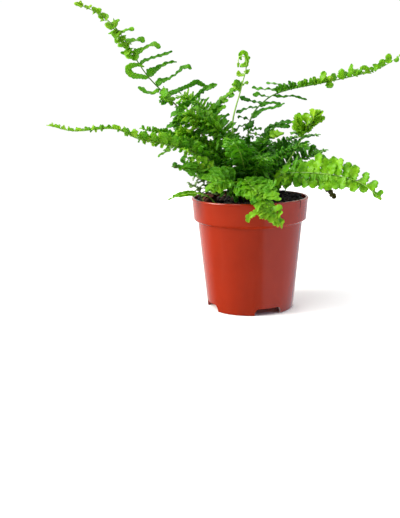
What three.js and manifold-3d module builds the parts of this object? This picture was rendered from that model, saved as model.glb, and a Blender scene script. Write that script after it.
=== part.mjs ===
// A young ruffled fern growing in a small round nursery pot.
// Millimetres, +Z up. The origin is the centre of the pot's foot, and -Y is the front.
// The pot, the soil in it, the crown in the soil, a chip of bark and every frond are separate meshes.
// A frond is one closed body: a rib of four-sided section, whose side faces open into leaflets.

import * as THREE from "three";
import { mergeVertices } from "three/addons/utils/BufferGeometryUtils.js";
import Module from "manifold-3d";

const wasm = await Module();
wasm.setup();

// Pot: outside sizes of a thin moulded shell with a rim band and a raised, drained floor.
const POT_HEIGHT = 57.5;
const RIM_RADIUS = 30;
const BAND_FOOT_RADIUS = 28.9;
const BAND_HEIGHT = 11.2;
const SHOULDER_RADIUS = 26.9;
const SHOULDER_HEIGHT = 1.2;
const FOOT_RADIUS = 22.5;
const WALL = 1.1;
const FOOT_WALL = 1.6;
const FLOOR_UNDERSIDE = 3.9;
const POT_SIDES = 40;
const LIP_HEIGHT = 1.1;
const LIP_PROUD = 0.3;
const LIP_ROUND = 0.35;

// Four arched notches let the water out under the foot, and five round holes drain the floor.
const NOTCH_WIDTH = 14.4;
const NOTCH_HEIGHT = 3.5;
const NOTCH_ROUND = 2.4;
const NOTCH_TURN = 20;
const NOTCH_COUNT = 4;
const DRAIN_RADIUS = 2.3;
const DRAIN_CIRCLE = 13;
const DRAIN_SIDES = 8;

// Soil: fills the pot and is a little heaped towards the back right.
const GAP = 0.3;
const SOIL_TOP = 55;
const SOIL_SIDES = 32;
const SOIL_RINGS = 5;
const HEAP = { x: 17, y: 9, height: 2.6, spread: 12 };

// Crown: the short rootstock that the fronds grow from.
const CROWN_RADIUS = 9;
const CROWN_HALF_HEIGHT = 7;
const CROWN_CENTRE = 53;
const CROWN_SIDES = 11;
const HOLE_DEPTH = 7.5;

// Bark: one rough chip lying on the soil by the left of the rim.
const BARK = { x: -20.5, y: -8, z: 57.6, size: [3.6, 3, 2.7] };

// Leaflets and ribs.
const BLADE_THICKNESS = 0.62;
const RIB_HALF_WIDTH = [0.8, 0.36];
const RIB_HALF_THICKNESS = [0.75, 0.36];
const STIPE_SPANS = 3;
const SHORTEST_LEAFLET = 2.2;
const STEEPEST_FOLD = 54;
const FULL_FOLD_LENGTH = 4;
const FULL_TWIST_LENGTH = 9;
const CLEARANCE = 0.35;
const TOUCH = 1e-3;

// Along the leafy part the spans shorten by CROWDING, and the leaflets start at FIRST_SHARE of full
// length. A leaflet is up to WIDEST_TO_PITCH as wide as the span it grows from is long.
const CROWDING = 0.34;
const FIRST_SHARE = 0.6;
const LENGTHENING = 2.6;
const WIDEST_TO_PITCH = 1.62;
const WIDEST_TO_LEAF = 0.5;
const END_TO_LEAF = 0.24;
const END_HALF_WIDTH = 0.4;

// A leaflet's outline by its least length, as [share of its length, share of its width], on the
// margin towards the frond's foot and on the one towards its tip, which starts with the ear by the rib.
const OUTLINES = [
  { from: 9, lower: [[0.13, -0.42], [0.55, -0.5], [0.93, -0.3]], upper: [[0.1, 0.55], [0.6, 0.46], [1, 0.22]] },
  { from: 4.4, lower: [[0.35, -0.5], [0.95, -0.3]], upper: [[0.3, 0.52], [1, 0.24]] },
  { from: 0, lower: [[0.75, -0.5]], upper: [[0.9, 0.5]] },
];

// How a leaflet may be bent or shortened, in this order, to stay clear of its neighbours:
// [share of its length, more upward fold in degrees].
const WAYS_CLEAR = [[1, 0], [1, 22], [1, -22], [0.78, 0], [0.78, 28], [0.78, -28], [0.56, 0], [0.56, 20],
  [0.56, -34], [0.38, 0]];

// Fronds, those that show most from the front first. path: points on the rib from the crown to the
// tip. pairs: leaflets on each side. leaf: longest leaflet. What else a frond states replaces a
// value of USUAL, where bare is the share of the rib below the leaflets; roll is the turn of the
// blade about its rib at the foot and at the tip, right side up; fold is how far the leaflets on the
// left and on the right rise from the blade; lean is their angle to the rib at the foot and at the
// tip; twist is their turn about their own length, and slim a share of the usual width; sag is how
// far they hang, as a share of their length; full is the share of the leafy part over which they
// have full length, and taper is how fast they shorten beyond it.
const USUAL = {
  bare: 0.2, roll: [0, 0], fold: [10, 10], lean: [88, 62], twist: 10, slim: 1, sag: 0.08, full: 0.1, taper: 0.8,
};
const FRONDS = [
  { name: "frond_tall_left", tone: "mid", pairs: 15, leaf: 19, bare: 0.2, roll: [34, 46], fold: [40, 36],
    lean: [102, 96], twist: 50, slim: 0.62, sag: 0.04, full: 0.42, taper: 1.25,
    path: [[-4.6, 1, 55], [-9, 2, 68], [-18, 4, 82], [-36, 7, 103], [-51, 6, 119], [-67, 0, 142], [-79, -5.5, 150]] },
  { name: "frond_long_left", tone: "light", pairs: 19, leaf: 10.5, bare: 0.16, roll: [4, -6], fold: [54, 46],
    twist: 16, sag: 0, full: 0.3, taper: 1.5,
    path: [[-7, -2, 55], [-12, -5, 67], [-20, -9, 77], [-37, -18, 84.5], [-54, -25, 89], [-65, -29, 94],
      [-82, -34, 93.5], [-92, -38, 96]] },
  { name: "frond_long_right", tone: "light", pairs: 19, leaf: 14, bare: 0.3, roll: [0, -6], fold: [40, 40],
    lean: [84, 66], twist: 22, slim: 0.85, sag: 0, full: 0.16, taper: 1.3,
    path: [[0.4, 4.6, 55], [0, 11, 74], [2, 22, 95], [11.5, 31, 106], [24, 36, 111], [47, 43, 115], [75, 52, 121],
      [91, 59, 129]] },
  { name: "frond_droop_right", tone: "light", pairs: 14, leaf: 10.5, bare: 0.22, roll: [-30, -58], fold: [4, 4],
    sag: 0, full: 0.5, taper: 0.75,
    path: [[6.6, -3.4, 55], [9.5, -8, 64], [15, -14, 69.5], [24, -20.5, 71], [34, -27, 70.8], [42, -31, 69.4],
      [50, -34.5, 66.5], [56.5, -37, 61]] },
  { name: "frond_front_hanging", tone: "light", pairs: 11, leaf: 9, bare: 0.22, roll: [-6, 8], fold: [-14, -4],
    sag: 0.16, full: 0.74, taper: 0.9,
    path: [[0.4, -7.4, 55], [-2.5, -14, 65], [-4, -23, 68.5], [-1.5, -32, 66], [3.5, -38.5, 61], [8.5, -41.5, 54],
      [11.5, -42, 47.5]] },
  { name: "frond_small_right", tone: "light", pairs: 9, leaf: 10, bare: 0.42, roll: [-12, -66], fold: [6, 6],
    full: 0.5, taper: 0.8,
    path: [[7, 1.4, 55], [11.5, 2, 63], [19, 4, 73], [25, 3, 82.5], [30, 0, 90.5], [36.5, -5, 100]] },
  { name: "frond_upright", tone: "light", pairs: 6, leaf: 4.6, bare: 0.56, roll: [40, 80], fold: [20, 20],
    full: 0.6, taper: 0.7,
    path: [[-1.6, 1.6, 55], [-5, 3, 74], [-8.3, 5, 93], [-4, 3, 111], [-1.2, 2, 122], [-2, 1.4, 126.6],
      [-5, 1, 126.8], [-5.2, 1, 123.6]] },
  { name: "frond_left_front", tone: "mid", pairs: 11, leaf: 12, bare: 0.18, roll: [30, 36], fold: [-6, 0],
    sag: 0.2,
    path: [[-5.9, -4.4, 55], [-10, -7.5, 65], [-17, -12, 70.5], [-27, -17, 74], [-36.5, -22, 75.5]] },
  { name: "frond_low_front", tone: "mid", pairs: 10, leaf: 11, bare: 0.22, roll: [10, 16], fold: [-22, -10],
    sag: 0.2, full: 0.3,
    path: [[-3.2, -6.7, 55], [-7, -14, 64], [-13, -23, 68.3], [-19.5, -30, 67.5], [-25.5, -36, 63.5]] },
  { name: "frond_towards_front", tone: "light", pairs: 12, leaf: 11, roll: [6, -6], fold: [12, 12],
    path: [[-1.5, -4.3, 55], [-3, -10, 70], [-6, -24, 81], [-10, -40, 87], [-14, -59, 87]] },
  { name: "frond_young_centre", tone: "mid", pairs: 7, leaf: 8, bare: 0.5, roll: [46, 60], fold: [10, 10],
    path: [[-4.2, 4, 55], [-10, 7, 76], [-17, 10, 92], [-14.5, 12, 103], [-8, 13, 110], [-3.5, 12, 114.5]] },
  { name: "frond_left_behind", tone: "dark", pairs: 11, leaf: 11, roll: [10, 4], fold: [28, 28], lean: [92, 66],
    path: [[-7.2, 1.8, 55], [-13, 6, 68], [-24, 10, 79], [-40, 15, 88], [-55, 18, 92]] },
  { name: "frond_upper_left", tone: "mid", pairs: 11, leaf: 13, bare: 0.3, roll: [20, 10], fold: [14, 14],
    lean: [96, 70],
    path: [[-1.9, 4.2, 55], [-7, 13, 76], [-15, 19, 94], [-24, 25, 103], [-34, 30, 108]] },
  { name: "frond_right_behind", tone: "dark", pairs: 9, leaf: 10, roll: [-8, -12], fold: [20, 20],
    path: [[6.4, 3.8, 55], [10, 8, 63.5], [18, 11, 70], [30, 14, 76], [41, 16, 79]] },
  { name: "frond_right_inner", tone: "dark", pairs: 9, leaf: 10, bare: 0.26, roll: [-4, -8], fold: [16, 16],
    path: [[3.6, 3.2, 55], [6, 8, 70], [12, 15, 80.5], [25, 20, 86], [38, 23, 87]] },
  { name: "frond_inner_left", tone: "mid", pairs: 11, leaf: 11, bare: 0.16, roll: [16, 10], fold: [20, 24],
    lean: [92, 66],
    path: [[-4.4, -1.8, 55], [-10, -3, 71], [-20, -5, 83], [-36, -8, 90.5]] },
  { name: "frond_inner_upper_left", tone: "mid", pairs: 11, leaf: 13, bare: 0.2, roll: [20, 26], fold: [20, 20],
    lean: [94, 68],
    path: [[-2.2, -0.8, 55], [-7, -2, 76], [-16, -4, 91], [-31, -6, 99]] },
  { name: "frond_inner_front", tone: "dark", pairs: 9, leaf: 11, bare: 0.16, roll: [0, 0], fold: [6, 6], sag: 0.16,
    path: [[1, -4.4, 55], [2.5, -11, 70], [4, -22, 78.5], [5, -36, 79]] },
  { name: "frond_inner_right", tone: "dark", pairs: 9, leaf: 10, bare: 0.2, roll: [-10, -10], fold: [10, 10],
    path: [[4, -1.6, 55], [9, -4.5, 70], [17, -9, 80], [27, -14, 84]] },
  { name: "frond_inner_back", tone: "dark", pairs: 8, leaf: 11, bare: 0.24, roll: [-10, -10], fold: [14, 14],
    path: [[1.8, 1.4, 55], [3.6, 4, 72], [7, 9, 83], [13, 16, 90]] },
  { name: "frond_back_middle", tone: "mid", pairs: 8, leaf: 12, fold: [8, 8], sag: 0.14,
    path: [[0.6, 7.4, 55], [1, 13, 67], [3, 28, 79], [5, 44, 80], [8, 59, 72]] },
  { name: "frond_back_left", tone: "mid", pairs: 9, leaf: 12, roll: [6, 0], fold: [8, 8], sag: 0.14,
    path: [[-4.7, 5.8, 55], [-11, 15, 69], [-23, 28, 80], [-36, 41, 83], [-48, 53, 76]] },
  { name: "frond_back_right", tone: "dark", pairs: 8, leaf: 12, roll: [-6, 0], fold: [8, 8], sag: 0.14,
    path: [[4, 6.2, 55], [10, 16, 68], [21, 29, 78], [35, 42, 80], [49, 52, 70]] },
  { name: "frond_back_low_right", tone: "mid", pairs: 8, leaf: 10, roll: [-6, -10], fold: [4, 4], sag: 0.16,
    path: [[5.4, 5.6, 54], [14, 12, 62], [25, 21, 66], [38, 28, 65], [49, 33, 59]] },
  { name: "frond_back_low_left", tone: "dark", pairs: 8, leaf: 10, roll: [6, 0], fold: [4, 4], sag: 0.16,
    path: [[-2.4, 7, 54], [-6, 16, 62], [-11, 28, 66], [-16, 39, 65], [-20, 49, 58]] },
  { name: "frond_rim_left", tone: "light", pairs: 6, leaf: 3.6, bare: 0.3,
    path: [[-17, -12, 53.5], [-20.5, -12.8, 58.6], [-27, -13.6, 61.2], [-34.5, -14.6, 61.2], [-42, -15.6, 58.8]] },
  { name: "frond_baby_left", tone: "pale", pairs: 5, leaf: 4, bare: 0.35, roll: [10, 0],
    path: [[-23, -2.5, 53.5], [-25, -3, 59], [-27.4, -3.6, 63], [-30.5, -4.4, 65]] },
  { name: "frond_baby_middle", tone: "pale", pairs: 5, leaf: 4, bare: 0.35, roll: [30, 30],
    path: [[-20, -2, 53.5], [-21.5, -3, 60], [-24, -4.4, 66], [-27, -5.6, 70.5]] },
  { name: "frond_baby_right", tone: "pale", pairs: 5, leaf: 4, bare: 0.35, roll: [-20, -30],
    path: [[-17.5, -2.5, 53.5], [-17.6, -5, 59], [-18.2, -8.5, 64], [-19.4, -12.5, 67.5]] },
];

const MATERIALS = {
  pot: new THREE.MeshStandardMaterial({ color: "#bf4528", roughness: 0.42, metalness: 0 }),
  soil: new THREE.MeshStandardMaterial({ color: "#241a15", roughness: 0.95, metalness: 0 }),
  crown: new THREE.MeshStandardMaterial({ color: "#4b3320", roughness: 0.9, metalness: 0 }),
  bark: new THREE.MeshStandardMaterial({ color: "#5b3529", roughness: 0.9, metalness: 0 }),
  light: new THREE.MeshStandardMaterial({ color: "#77b81f", roughness: 0.5, metalness: 0 }),
  mid: new THREE.MeshStandardMaterial({ color: "#4a9a1c", roughness: 0.5, metalness: 0 }),
  dark: new THREE.MeshStandardMaterial({ color: "#2c7417", roughness: 0.5, metalness: 0 }),
  pale: new THREE.MeshStandardMaterial({ color: "#7fa25e", roughness: 0.6, metalness: 0 }),
};

const UP = new THREE.Vector3(0, 0, 1);
const radians = THREE.MathUtils.degToRad;
const mix = THREE.MathUtils.lerp;

// A repeatable source of numbers from -1 to 1.
function seeded(seed) {
  let state = seed;
  return () => {
    state = (state * 1664525 + 1013904223) % 4294967296;
    return state / 2147483648 - 1;
  };
}

// Solid and mesh forms of the same closed surface.
function toSolid(geometry) {
  const plain = geometry.index ? geometry.toNonIndexed() : geometry;
  const places = new THREE.BufferGeometry().setAttribute("position", plain.getAttribute("position"));
  const merged = mergeVertices(places, 1e-4);
  return new wasm.Manifold(new wasm.Mesh({
    numProp: 3,
    vertProperties: merged.attributes.position.array,
    triVerts: new Uint32Array(merged.index.array),
  }));
}

function toGeometry(solid) {
  const { vertProperties, triVerts } = solid.getMesh();
  return new THREE.BufferGeometry()
    .setAttribute("position", new THREE.BufferAttribute(vertProperties, 3))
    .setIndex(new THREE.BufferAttribute(triVerts, 1));
}

function named(name, solid, material) {
  const mesh = new THREE.Mesh(toGeometry(solid), MATERIALS[material]);
  mesh.name = name;
  return mesh;
}

// A shape turned about the Z axis from [radius, height] points.
function turned(profile, sides) {
  return new THREE.LatheGeometry(profile.map(([r, z]) => new THREE.Vector2(r, z)), sides).rotateX(Math.PI / 2);
}

function upright(radius, bottom, top, sides) {
  return new THREE.CylinderGeometry(radius, radius, top - bottom, sides)
    .rotateX(Math.PI / 2)
    .translate(0, 0, (top + bottom) / 2);
}

// Pot

const SHOULDER_FOOT = POT_HEIGHT - BAND_HEIGHT - SHOULDER_HEIGHT;
const FLOOR_TOP = FLOOR_UNDERSIDE + WALL;

// The inside of the wall as [radius, height] points, from the floor to the lip.
function innerWall(inset) {
  return [
    [mix(FOOT_RADIUS, SHOULDER_RADIUS, FLOOR_TOP / SHOULDER_FOOT) - WALL - inset, FLOOR_TOP + inset],
    [SHOULDER_RADIUS - WALL - inset, SHOULDER_FOOT + WALL / 2],
    [BAND_FOOT_RADIUS - WALL - inset, SHOULDER_FOOT + SHOULDER_HEIGHT + WALL / 2],
    [RIM_RADIUS - LIP_PROUD - WALL - inset, POT_HEIGHT - LIP_HEIGHT],
  ];
}

function makePot() {
  const bandTop = POT_HEIGHT - LIP_HEIGHT;
  const shell = toSolid(turned([
    [0, FLOOR_UNDERSIDE],
    [FOOT_RADIUS - FOOT_WALL, FLOOR_UNDERSIDE],
    [FOOT_RADIUS - FOOT_WALL, 0],
    [FOOT_RADIUS, 0],
    [SHOULDER_RADIUS, SHOULDER_FOOT],
    [BAND_FOOT_RADIUS, SHOULDER_FOOT + SHOULDER_HEIGHT],
    [RIM_RADIUS - LIP_PROUD, bandTop],
    [RIM_RADIUS, bandTop + LIP_ROUND],
    [RIM_RADIUS - LIP_ROUND, POT_HEIGHT],
    ...innerWall(0).reverse(),
    [0, FLOOR_TOP],
  ], POT_SIDES));
  const cuts = [toSolid(upright(DRAIN_RADIUS, 0, FLOOR_TOP + 1, DRAIN_SIDES))];
  for (let i = 0; i < NOTCH_COUNT; i += 1) {
    const turn = radians(NOTCH_TURN + (360 / NOTCH_COUNT) * i);
    cuts.push(toSolid(notch().rotateZ(turn)));
    const drain = upright(DRAIN_RADIUS, 0, FLOOR_TOP + 1, DRAIN_SIDES);
    cuts.push(toSolid(drain.translate(DRAIN_CIRCLE * Math.sin(turn), -DRAIN_CIRCLE * Math.cos(turn), 0)));
  }
  return cuts.reduce((pot, cut) => pot.subtract(cut), shell);
}

// A notch's arch, run outwards through the front of the foot wall.
function notch() {
  const half = NOTCH_WIDTH / 2;
  const arch = new THREE.Shape();
  arch.moveTo(-half, -1);
  arch.lineTo(half, -1);
  arch.lineTo(half, NOTCH_HEIGHT - NOTCH_ROUND);
  arch.quadraticCurveTo(half, NOTCH_HEIGHT, half - NOTCH_ROUND, NOTCH_HEIGHT);
  arch.lineTo(NOTCH_ROUND - half, NOTCH_HEIGHT);
  arch.quadraticCurveTo(-half, NOTCH_HEIGHT, -half, NOTCH_HEIGHT - NOTCH_ROUND);
  arch.closePath();
  const through = { depth: FOOT_RADIUS, bevelEnabled: false, curveSegments: 3 };
  return new THREE.ExtrudeGeometry(arch, through).rotateX(Math.PI / 2).translate(0, -FOOT_RADIUS / 2, 0);
}

// Soil, crown and bark

function soilHeight(x, y) {
  const heap = HEAP.height * Math.exp(-((x - HEAP.x) ** 2 + (y - HEAP.y) ** 2) / HEAP.spread ** 2);
  const lumps = 0.45 * Math.sin(x * 0.72 + 1.3) * Math.cos(y * 0.61) + 0.3 * Math.sin(x * 1.37 - y * 1.11);
  return SOIL_TOP + heap + lumps;
}

function makeSoil() {
  const wall = innerWall(GAP);
  const [rimRadius] = wall[wall.length - 1];
  const top = [];
  for (let i = 0; i <= SOIL_RINGS; i += 1) top.push([rimRadius * (1 - i / SOIL_RINGS), SOIL_TOP]);
  const soil = turned([[0, wall[0][1]], ...wall.slice(0, -1), ...top], SOIL_SIDES);
  const places = soil.getAttribute("position");
  for (let i = 0; i < places.count; i += 1) {
    if (places.getZ(i) > SOIL_TOP - 1e-3) places.setZ(i, soilHeight(places.getX(i), places.getY(i)));
  }
  return toSolid(soil);
}

// A ball pulled to three half sizes and roughened, grown by more than its size where asked.
function lump([a, b, c], sides, roughness, more = 0) {
  const ball = new THREE.SphereGeometry(1, sides, Math.round(sides * 0.6)).rotateX(Math.PI / 2);
  const places = ball.getAttribute("position");
  const point = new THREE.Vector3();
  for (let i = 0; i < places.count; i += 1) {
    point.fromBufferAttribute(places, i);
    const rough = 1 + roughness * Math.sin(point.x * 5.1 + point.z * 4.3) * Math.cos(point.y * 6.2 - point.z * 2.9);
    places.setXYZ(i, point.x * (a * rough + more), point.y * (b * rough + more), point.z * (c * rough + more));
  }
  return ball;
}

const crownLump = (more) => toSolid(
  lump([CROWN_RADIUS, CROWN_RADIUS, CROWN_HALF_HEIGHT], CROWN_SIDES, 0.05, more).translate(0, 0, CROWN_CENTRE),
);
const barkLump = (more) => toSolid(
  lump(BARK.size, 9, 0.16, more).rotateZ(radians(24)).translate(BARK.x, BARK.y, BARK.z),
);

// Fronds

// The rib's middle, direction, right side and upper side at a share of its length.
function ribFrame(frond, share) {
  const at = frond.curve.getPointAt(share);
  const ahead = frond.curve.getTangentAt(share);
  const flat = new THREE.Vector3().crossVectors(frond.heading, UP);
  flat.addScaledVector(ahead, -flat.dot(ahead)).normalize();
  const roll = radians(mix(frond.roll[0], frond.roll[1], share));
  const right = flat.applyAxisAngle(ahead, -roll);
  const above = new THREE.Vector3().crossVectors(right, ahead);
  return { at, ahead, right, above };
}

// The four corners of the rib's section: left and right of its top, left and right of its underside.
function ribSection(frond, share, more = 0) {
  const { at, right, above } = ribFrame(frond, share);
  const across = mix(...RIB_HALF_WIDTH, share) * frond.stout + more;
  const deep = mix(...RIB_HALF_THICKNESS, share) * frond.stout + more;
  const corner = (x, z) => at.clone().addScaledVector(right, x * across).addScaledVector(above, z * deep);
  return { left: [corner(-1, 1), corner(-1, -1)], right: [corner(1, 1), corner(1, -1)] };
}

// A closed surface under construction, as loose triangles.
class Faces {
  constructor() {
    this.places = [];
  }

  triangle(a, b, c) {
    this.places.push(...a.toArray(), ...b.toArray(), ...c.toArray());
  }

  quad(a, b, c, d) {
    this.triangle(a, b, c);
    this.triangle(a, c, d);
  }

  geometry() {
    return new THREE.BufferGeometry().setAttribute("position", new THREE.Float32BufferAttribute(this.places, 3));
  }
}

// Shares of the rib's length where its sections stand: a bare stipe, then one span for each leaflet,
// closer together towards the tip.
function ribShares(frond) {
  const shares = [];
  for (let i = 0; i < STIPE_SPANS; i += 1) shares.push((frond.bare * i) / STIPE_SPANS);
  const spans = frond.pairs * 2;
  for (let i = 0; i <= spans; i += 1) {
    const x = i / spans;
    shares.push(mix(frond.bare, 1, x * (1 + CROWDING - CROWDING * x)));
  }
  return shares;
}

// A plain run of the rib through some of its sections, with both ends closed.
function ribRun(sections) {
  const faces = new Faces();
  sections.slice(1).forEach((next, i) => {
    const here = sections[i];
    faces.quad(here.left[0], here.right[0], next.right[0], next.left[0]);
    faces.quad(here.right[1], here.left[1], next.left[1], next.right[1]);
    faces.quad(here.left[1], here.left[0], next.left[0], next.left[1]);
    faces.quad(here.right[0], here.right[1], next.right[1], next.right[0]);
  });
  const [first, last] = [sections[0], sections[sections.length - 1]];
  faces.quad(first.left[0], first.left[1], first.right[1], first.right[0]);
  faces.quad(last.left[0], last.right[0], last.right[1], last.left[1]);
  return toSolid(faces.geometry());
}

// The rib grown by a clearance all round, up to a share of its length.
function grownRib(frond, more, end = 1) {
  const shares = ribShares(frond);
  const count = shares.findIndex((share) => share >= end) + 1;
  const sections = shares.slice(0, count).map((share) => ribSection(frond, share, more));
  const back = frond.curve.getTangentAt(0).multiplyScalar(-more);
  [...sections[0].left, ...sections[0].right].forEach((corner) => corner.add(back));
  return ribRun(sections);
}

// How long the leaflets are along the leafy part of a frond, as a share of the longest.
function leafletShare(frond, x) {
  return Math.min(1, FIRST_SHARE + x * LENGTHENING) * Math.min(1, (1 - x) / (1 - frond.full)) ** frond.taper;
}

// The free corners of a leaflet's two margins, top and underside, from the rib outwards.
function leafletMargins(frond, leaflet, [reach, bend]) {
  const { at, ahead, right, above } = leaflet.frame;
  const outwards = right.clone().multiplyScalar(leaflet.side);
  const [sine, cosine] = [Math.sin(leaflet.lean), Math.cos(leaflet.lean)];
  const along = outwards.clone().multiplyScalar(sine).addScaledVector(ahead, cosine);
  const across = ahead.clone().multiplyScalar(sine).addScaledVector(outwards, -cosine);
  const length = leaflet.length * reach;
  const fold = radians(Math.min(STEEPEST_FOLD, leaflet.fold + bend) * Math.min(1, length / FULL_FOLD_LENGTH));
  const rising = along.clone().multiplyScalar(Math.cos(fold)).addScaledVector(above, Math.sin(fold));
  const facing = above.clone().multiplyScalar(Math.cos(fold)).addScaledVector(along, -Math.sin(fold));
  const outline = OUTLINES.find(({ from }) => length >= from);
  const corner = ([a, b], wave) => {
    const turn = radians(frond.twist) * Math.min(1, 2.5 * a) * Math.min(1, length / FULL_TWIST_LENGTH);
    const wide = across.clone().multiplyScalar(Math.cos(turn)).addScaledVector(facing, Math.sin(turn));
    const normal = facing.clone().multiplyScalar(Math.cos(turn)).addScaledVector(across, -Math.sin(turn));
    const middle = at.clone()
      .addScaledVector(rising, a * length)
      .addScaledVector(wide, b * leaflet.width)
      .addScaledVector(UP, -frond.sag * length * a * a)
      .addScaledVector(normal, wave * leaflet.ruffle);
    return [middle.clone().addScaledVector(normal, BLADE_THICKNESS / 2),
      middle.addScaledVector(normal, -BLADE_THICKNESS / 2)];
  };
  const margin = (points, sign) => points.map((p, i) => corner(p, sign * (i % 2 ? -1 : 1)));
  return { lower: margin(outline.lower, 1), upper: margin(outline.upper, -1) };
}

// A leaflet's faces from its root, the two corner pairs where it joins the rib. Both faces are split
// the same way. On the left of the rib the surface is mirrored, so its triangles are turned round.
function addLeaflet(faces, rootLower, rootUpper, margins, side) {
  const lower = [rootLower, ...margins.lower];
  const upper = [rootUpper, ...margins.upper];
  const quad = (a, b, c, d) => (side > 0 ? faces.quad(a, b, c, d) : faces.quad(d, c, b, a));
  for (let i = 0; i + 1 < lower.length; i += 1) {
    quad(lower[i][0], lower[i + 1][0], upper[i + 1][0], upper[i][0]);
    quad(upper[i + 1][1], lower[i + 1][1], lower[i][1], upper[i][1]);
    quad(lower[i][1], lower[i + 1][1], lower[i + 1][0], lower[i][0]);
    quad(upper[i][0], upper[i + 1][0], upper[i + 1][1], upper[i][1]);
  }
  const [lowTip, highTip] = [lower[lower.length - 1], upper[upper.length - 1]];
  quad(lowTip[1], highTip[1], highTip[0], lowTip[0]);
}

// The leaflet by itself as a solid, with each face moved out by a clearance.
function leafletSolid(rootLower, rootUpper, margins, side, more = 0) {
  const faces = new Faces();
  const swell = ([top, under]) => {
    const out = top.clone().sub(under).setLength(more);
    return [top.clone().add(out), under.clone().sub(out)];
  };
  const swollen = { lower: margins.lower.map(swell), upper: margins.upper.map(swell) };
  const [low, high] = [swell(rootLower), swell(rootUpper)];
  addLeaflet(faces, low, high, swollen, side);
  if (side > 0) faces.quad(low[1], low[0], high[0], high[1]);
  else faces.quad(high[1], high[0], low[0], low[1]);
  return toSolid(faces.geometry());
}

const apart = (a, b) => [0, 1, 2].some((i) => a.max[i] < b.min[i] || b.max[i] < a.min[i]);
const clearOf = (solid, others) => {
  const box = solid.boundingBox();
  return others.every((o) => apart(box, o.box) || solid.intersect(o.solid).isEmpty());
};
const bitesInto = (solid, others) => others.some((o) => solid.intersect(o.solid).volume() > TOUCH);
const obstacle = (solid) => ({ solid, box: solid.boundingBox() });

// One frond as a closed body. Each span of the rib opens into one leaflet, left and right in turn.
function growFrond(frond, others) {
  const faces = new Faces();
  const random = seeded(frond.name.length * 977 + frond.pairs * 31);
  const shares = ribShares(frond);
  const sections = shares.map((share) => ribSection(frond, share));
  const ownRib = sections.slice(1).map((next, i) => obstacle(ribRun([sections[i], next])));
  const ownLeaflets = [];
  const spans = frond.pairs * 2;
  for (let i = 0; i + 1 < sections.length; i += 1) {
    const [here, next] = [sections[i], sections[i + 1]];
    faces.quad(here.left[0], here.right[0], next.right[0], next.left[0]);
    faces.quad(here.right[1], here.left[1], next.left[1], next.right[1]);
    const span = i - STIPE_SPANS;
    const nearRib = ownRib.filter((_, k) => Math.abs(k - i) === 1);
    const farRib = ownRib.filter((_, k) => Math.abs(k - i) > 1);
    [["left", -1], ["right", 1]].forEach(([edge, side]) => {
      const [low, high] = [here[edge], next[edge]];
      const leafy = span >= 0 && (span % 2 === 0) === (side < 0);
      const around = [...farRib, ...ownLeaflets, ...others];
      const leaflet = leafy && newLeaflet(frond, span / spans, shares[i], shares[i + 1], side, random);
      const margins = leafy && fitLeaflet(frond, leaflet, low, high, nearRib, around);
      if (margins) {
        addLeaflet(faces, low, high, margins, side);
        ownLeaflets.push(obstacle(leafletSolid(low, high, margins, side)));
      } else if (side > 0) faces.quad(low[1], high[1], high[0], low[0]);
      else faces.quad(low[0], high[0], high[1], low[1]);
    });
  }
  const [first, last] = [sections[0], sections[sections.length - 1]];
  faces.quad(first.left[0], first.left[1], first.right[1], first.right[0]);
  addEndLeaflet(faces, frond, last, [...ownRib.slice(0, -1), ...ownLeaflets, ...others]);
  return toSolid(faces.geometry());
}

// The size and set of the leaflet on one side of a span, at x along the leafy part.
function newLeaflet(frond, x, from, to, side, random) {
  const pitch = (to - from) * frond.length;
  const frame = ribFrame(frond, (from + to) / 2);
  frame.at.addScaledVector(frame.right, side * mix(...RIB_HALF_WIDTH, to) * frond.stout);
  const length = Math.max(SHORTEST_LEAFLET, frond.leaf * leafletShare(frond, x) * (1 + 0.08 * random()));
  return {
    frame, side, length,
    width: Math.min(pitch * WIDEST_TO_PITCH, frond.leaf * WIDEST_TO_LEAF) * frond.slim,
    lean: radians(mix(...frond.lean, x) + 1.5 * random()),
    fold: frond.fold[side < 0 ? 0 : 1] + 9 * random(),
    ruffle: Math.min(0.5, length * 0.05) * (1 + 0.2 * random()),
  };
}

// A leaflet's margins as it would grow, or bent and shortened until it is out of the rib by its
// root and clear of what is around it, or null where there is no room for it.
function fitLeaflet(frond, leaflet, low, high, nearRib, around) {
  for (const way of WAYS_CLEAR) {
    const margins = leafletMargins(frond, leaflet, way);
    const solid = leafletSolid(low, high, margins, leaflet.side);
    const roomy = leafletSolid(low, high, margins, leaflet.side, CLEARANCE);
    if (!bitesInto(solid, nearRib) && clearOf(roomy, around)) return margins;
  }
  return null;
}

// The single leaflet that ends the frond, shortened until it is clear of what is around it.
function addEndLeaflet(faces, frond, last, around) {
  const full = Math.max(2, frond.leaf * END_TO_LEAF);
  const [fits] = [1, 0.7, 0.45, 0.25].filter((reach) => {
    const alone = new Faces();
    endLeaflet(alone, frond, last, full * reach);
    alone.quad(last.left[0], last.left[1], last.right[1], last.right[0]);
    return clearOf(toSolid(alone.geometry()), around);
  });
  endLeaflet(faces, frond, last, full * (fits ?? 0.25));
}

function endLeaflet(faces, frond, last, length) {
  const { at, ahead, right, above } = ribFrame(frond, 1);
  const corner = (a, b, z) => at.clone()
    .addScaledVector(ahead, a * length)
    .addScaledVector(right, b * length * END_HALF_WIDTH)
    .addScaledVector(above, (z * BLADE_THICKNESS) / 2);
  const ring = [[0.45, -1], [1, -0.4], [1, 0.4], [0.45, 1]].map(([a, b]) => [corner(a, b, 1), corner(a, b, -1)]);
  const chain = [last.left, ...ring, last.right];
  for (let i = 0; i + 1 < chain.length; i += 1) {
    faces.quad(chain[i][1], chain[i][0], chain[i + 1][0], chain[i + 1][1]);
  }
  [[0, 1, 4, 5], [1, 2, 3, 4]].forEach(([a, b, c, d]) => {
    faces.quad(chain[a][0], chain[d][0], chain[c][0], chain[b][0]);
    faces.quad(chain[a][1], chain[b][1], chain[c][1], chain[d][1]);
  });
}

// The plant, grown frond by frond so that each keeps clear of those before it.

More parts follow.
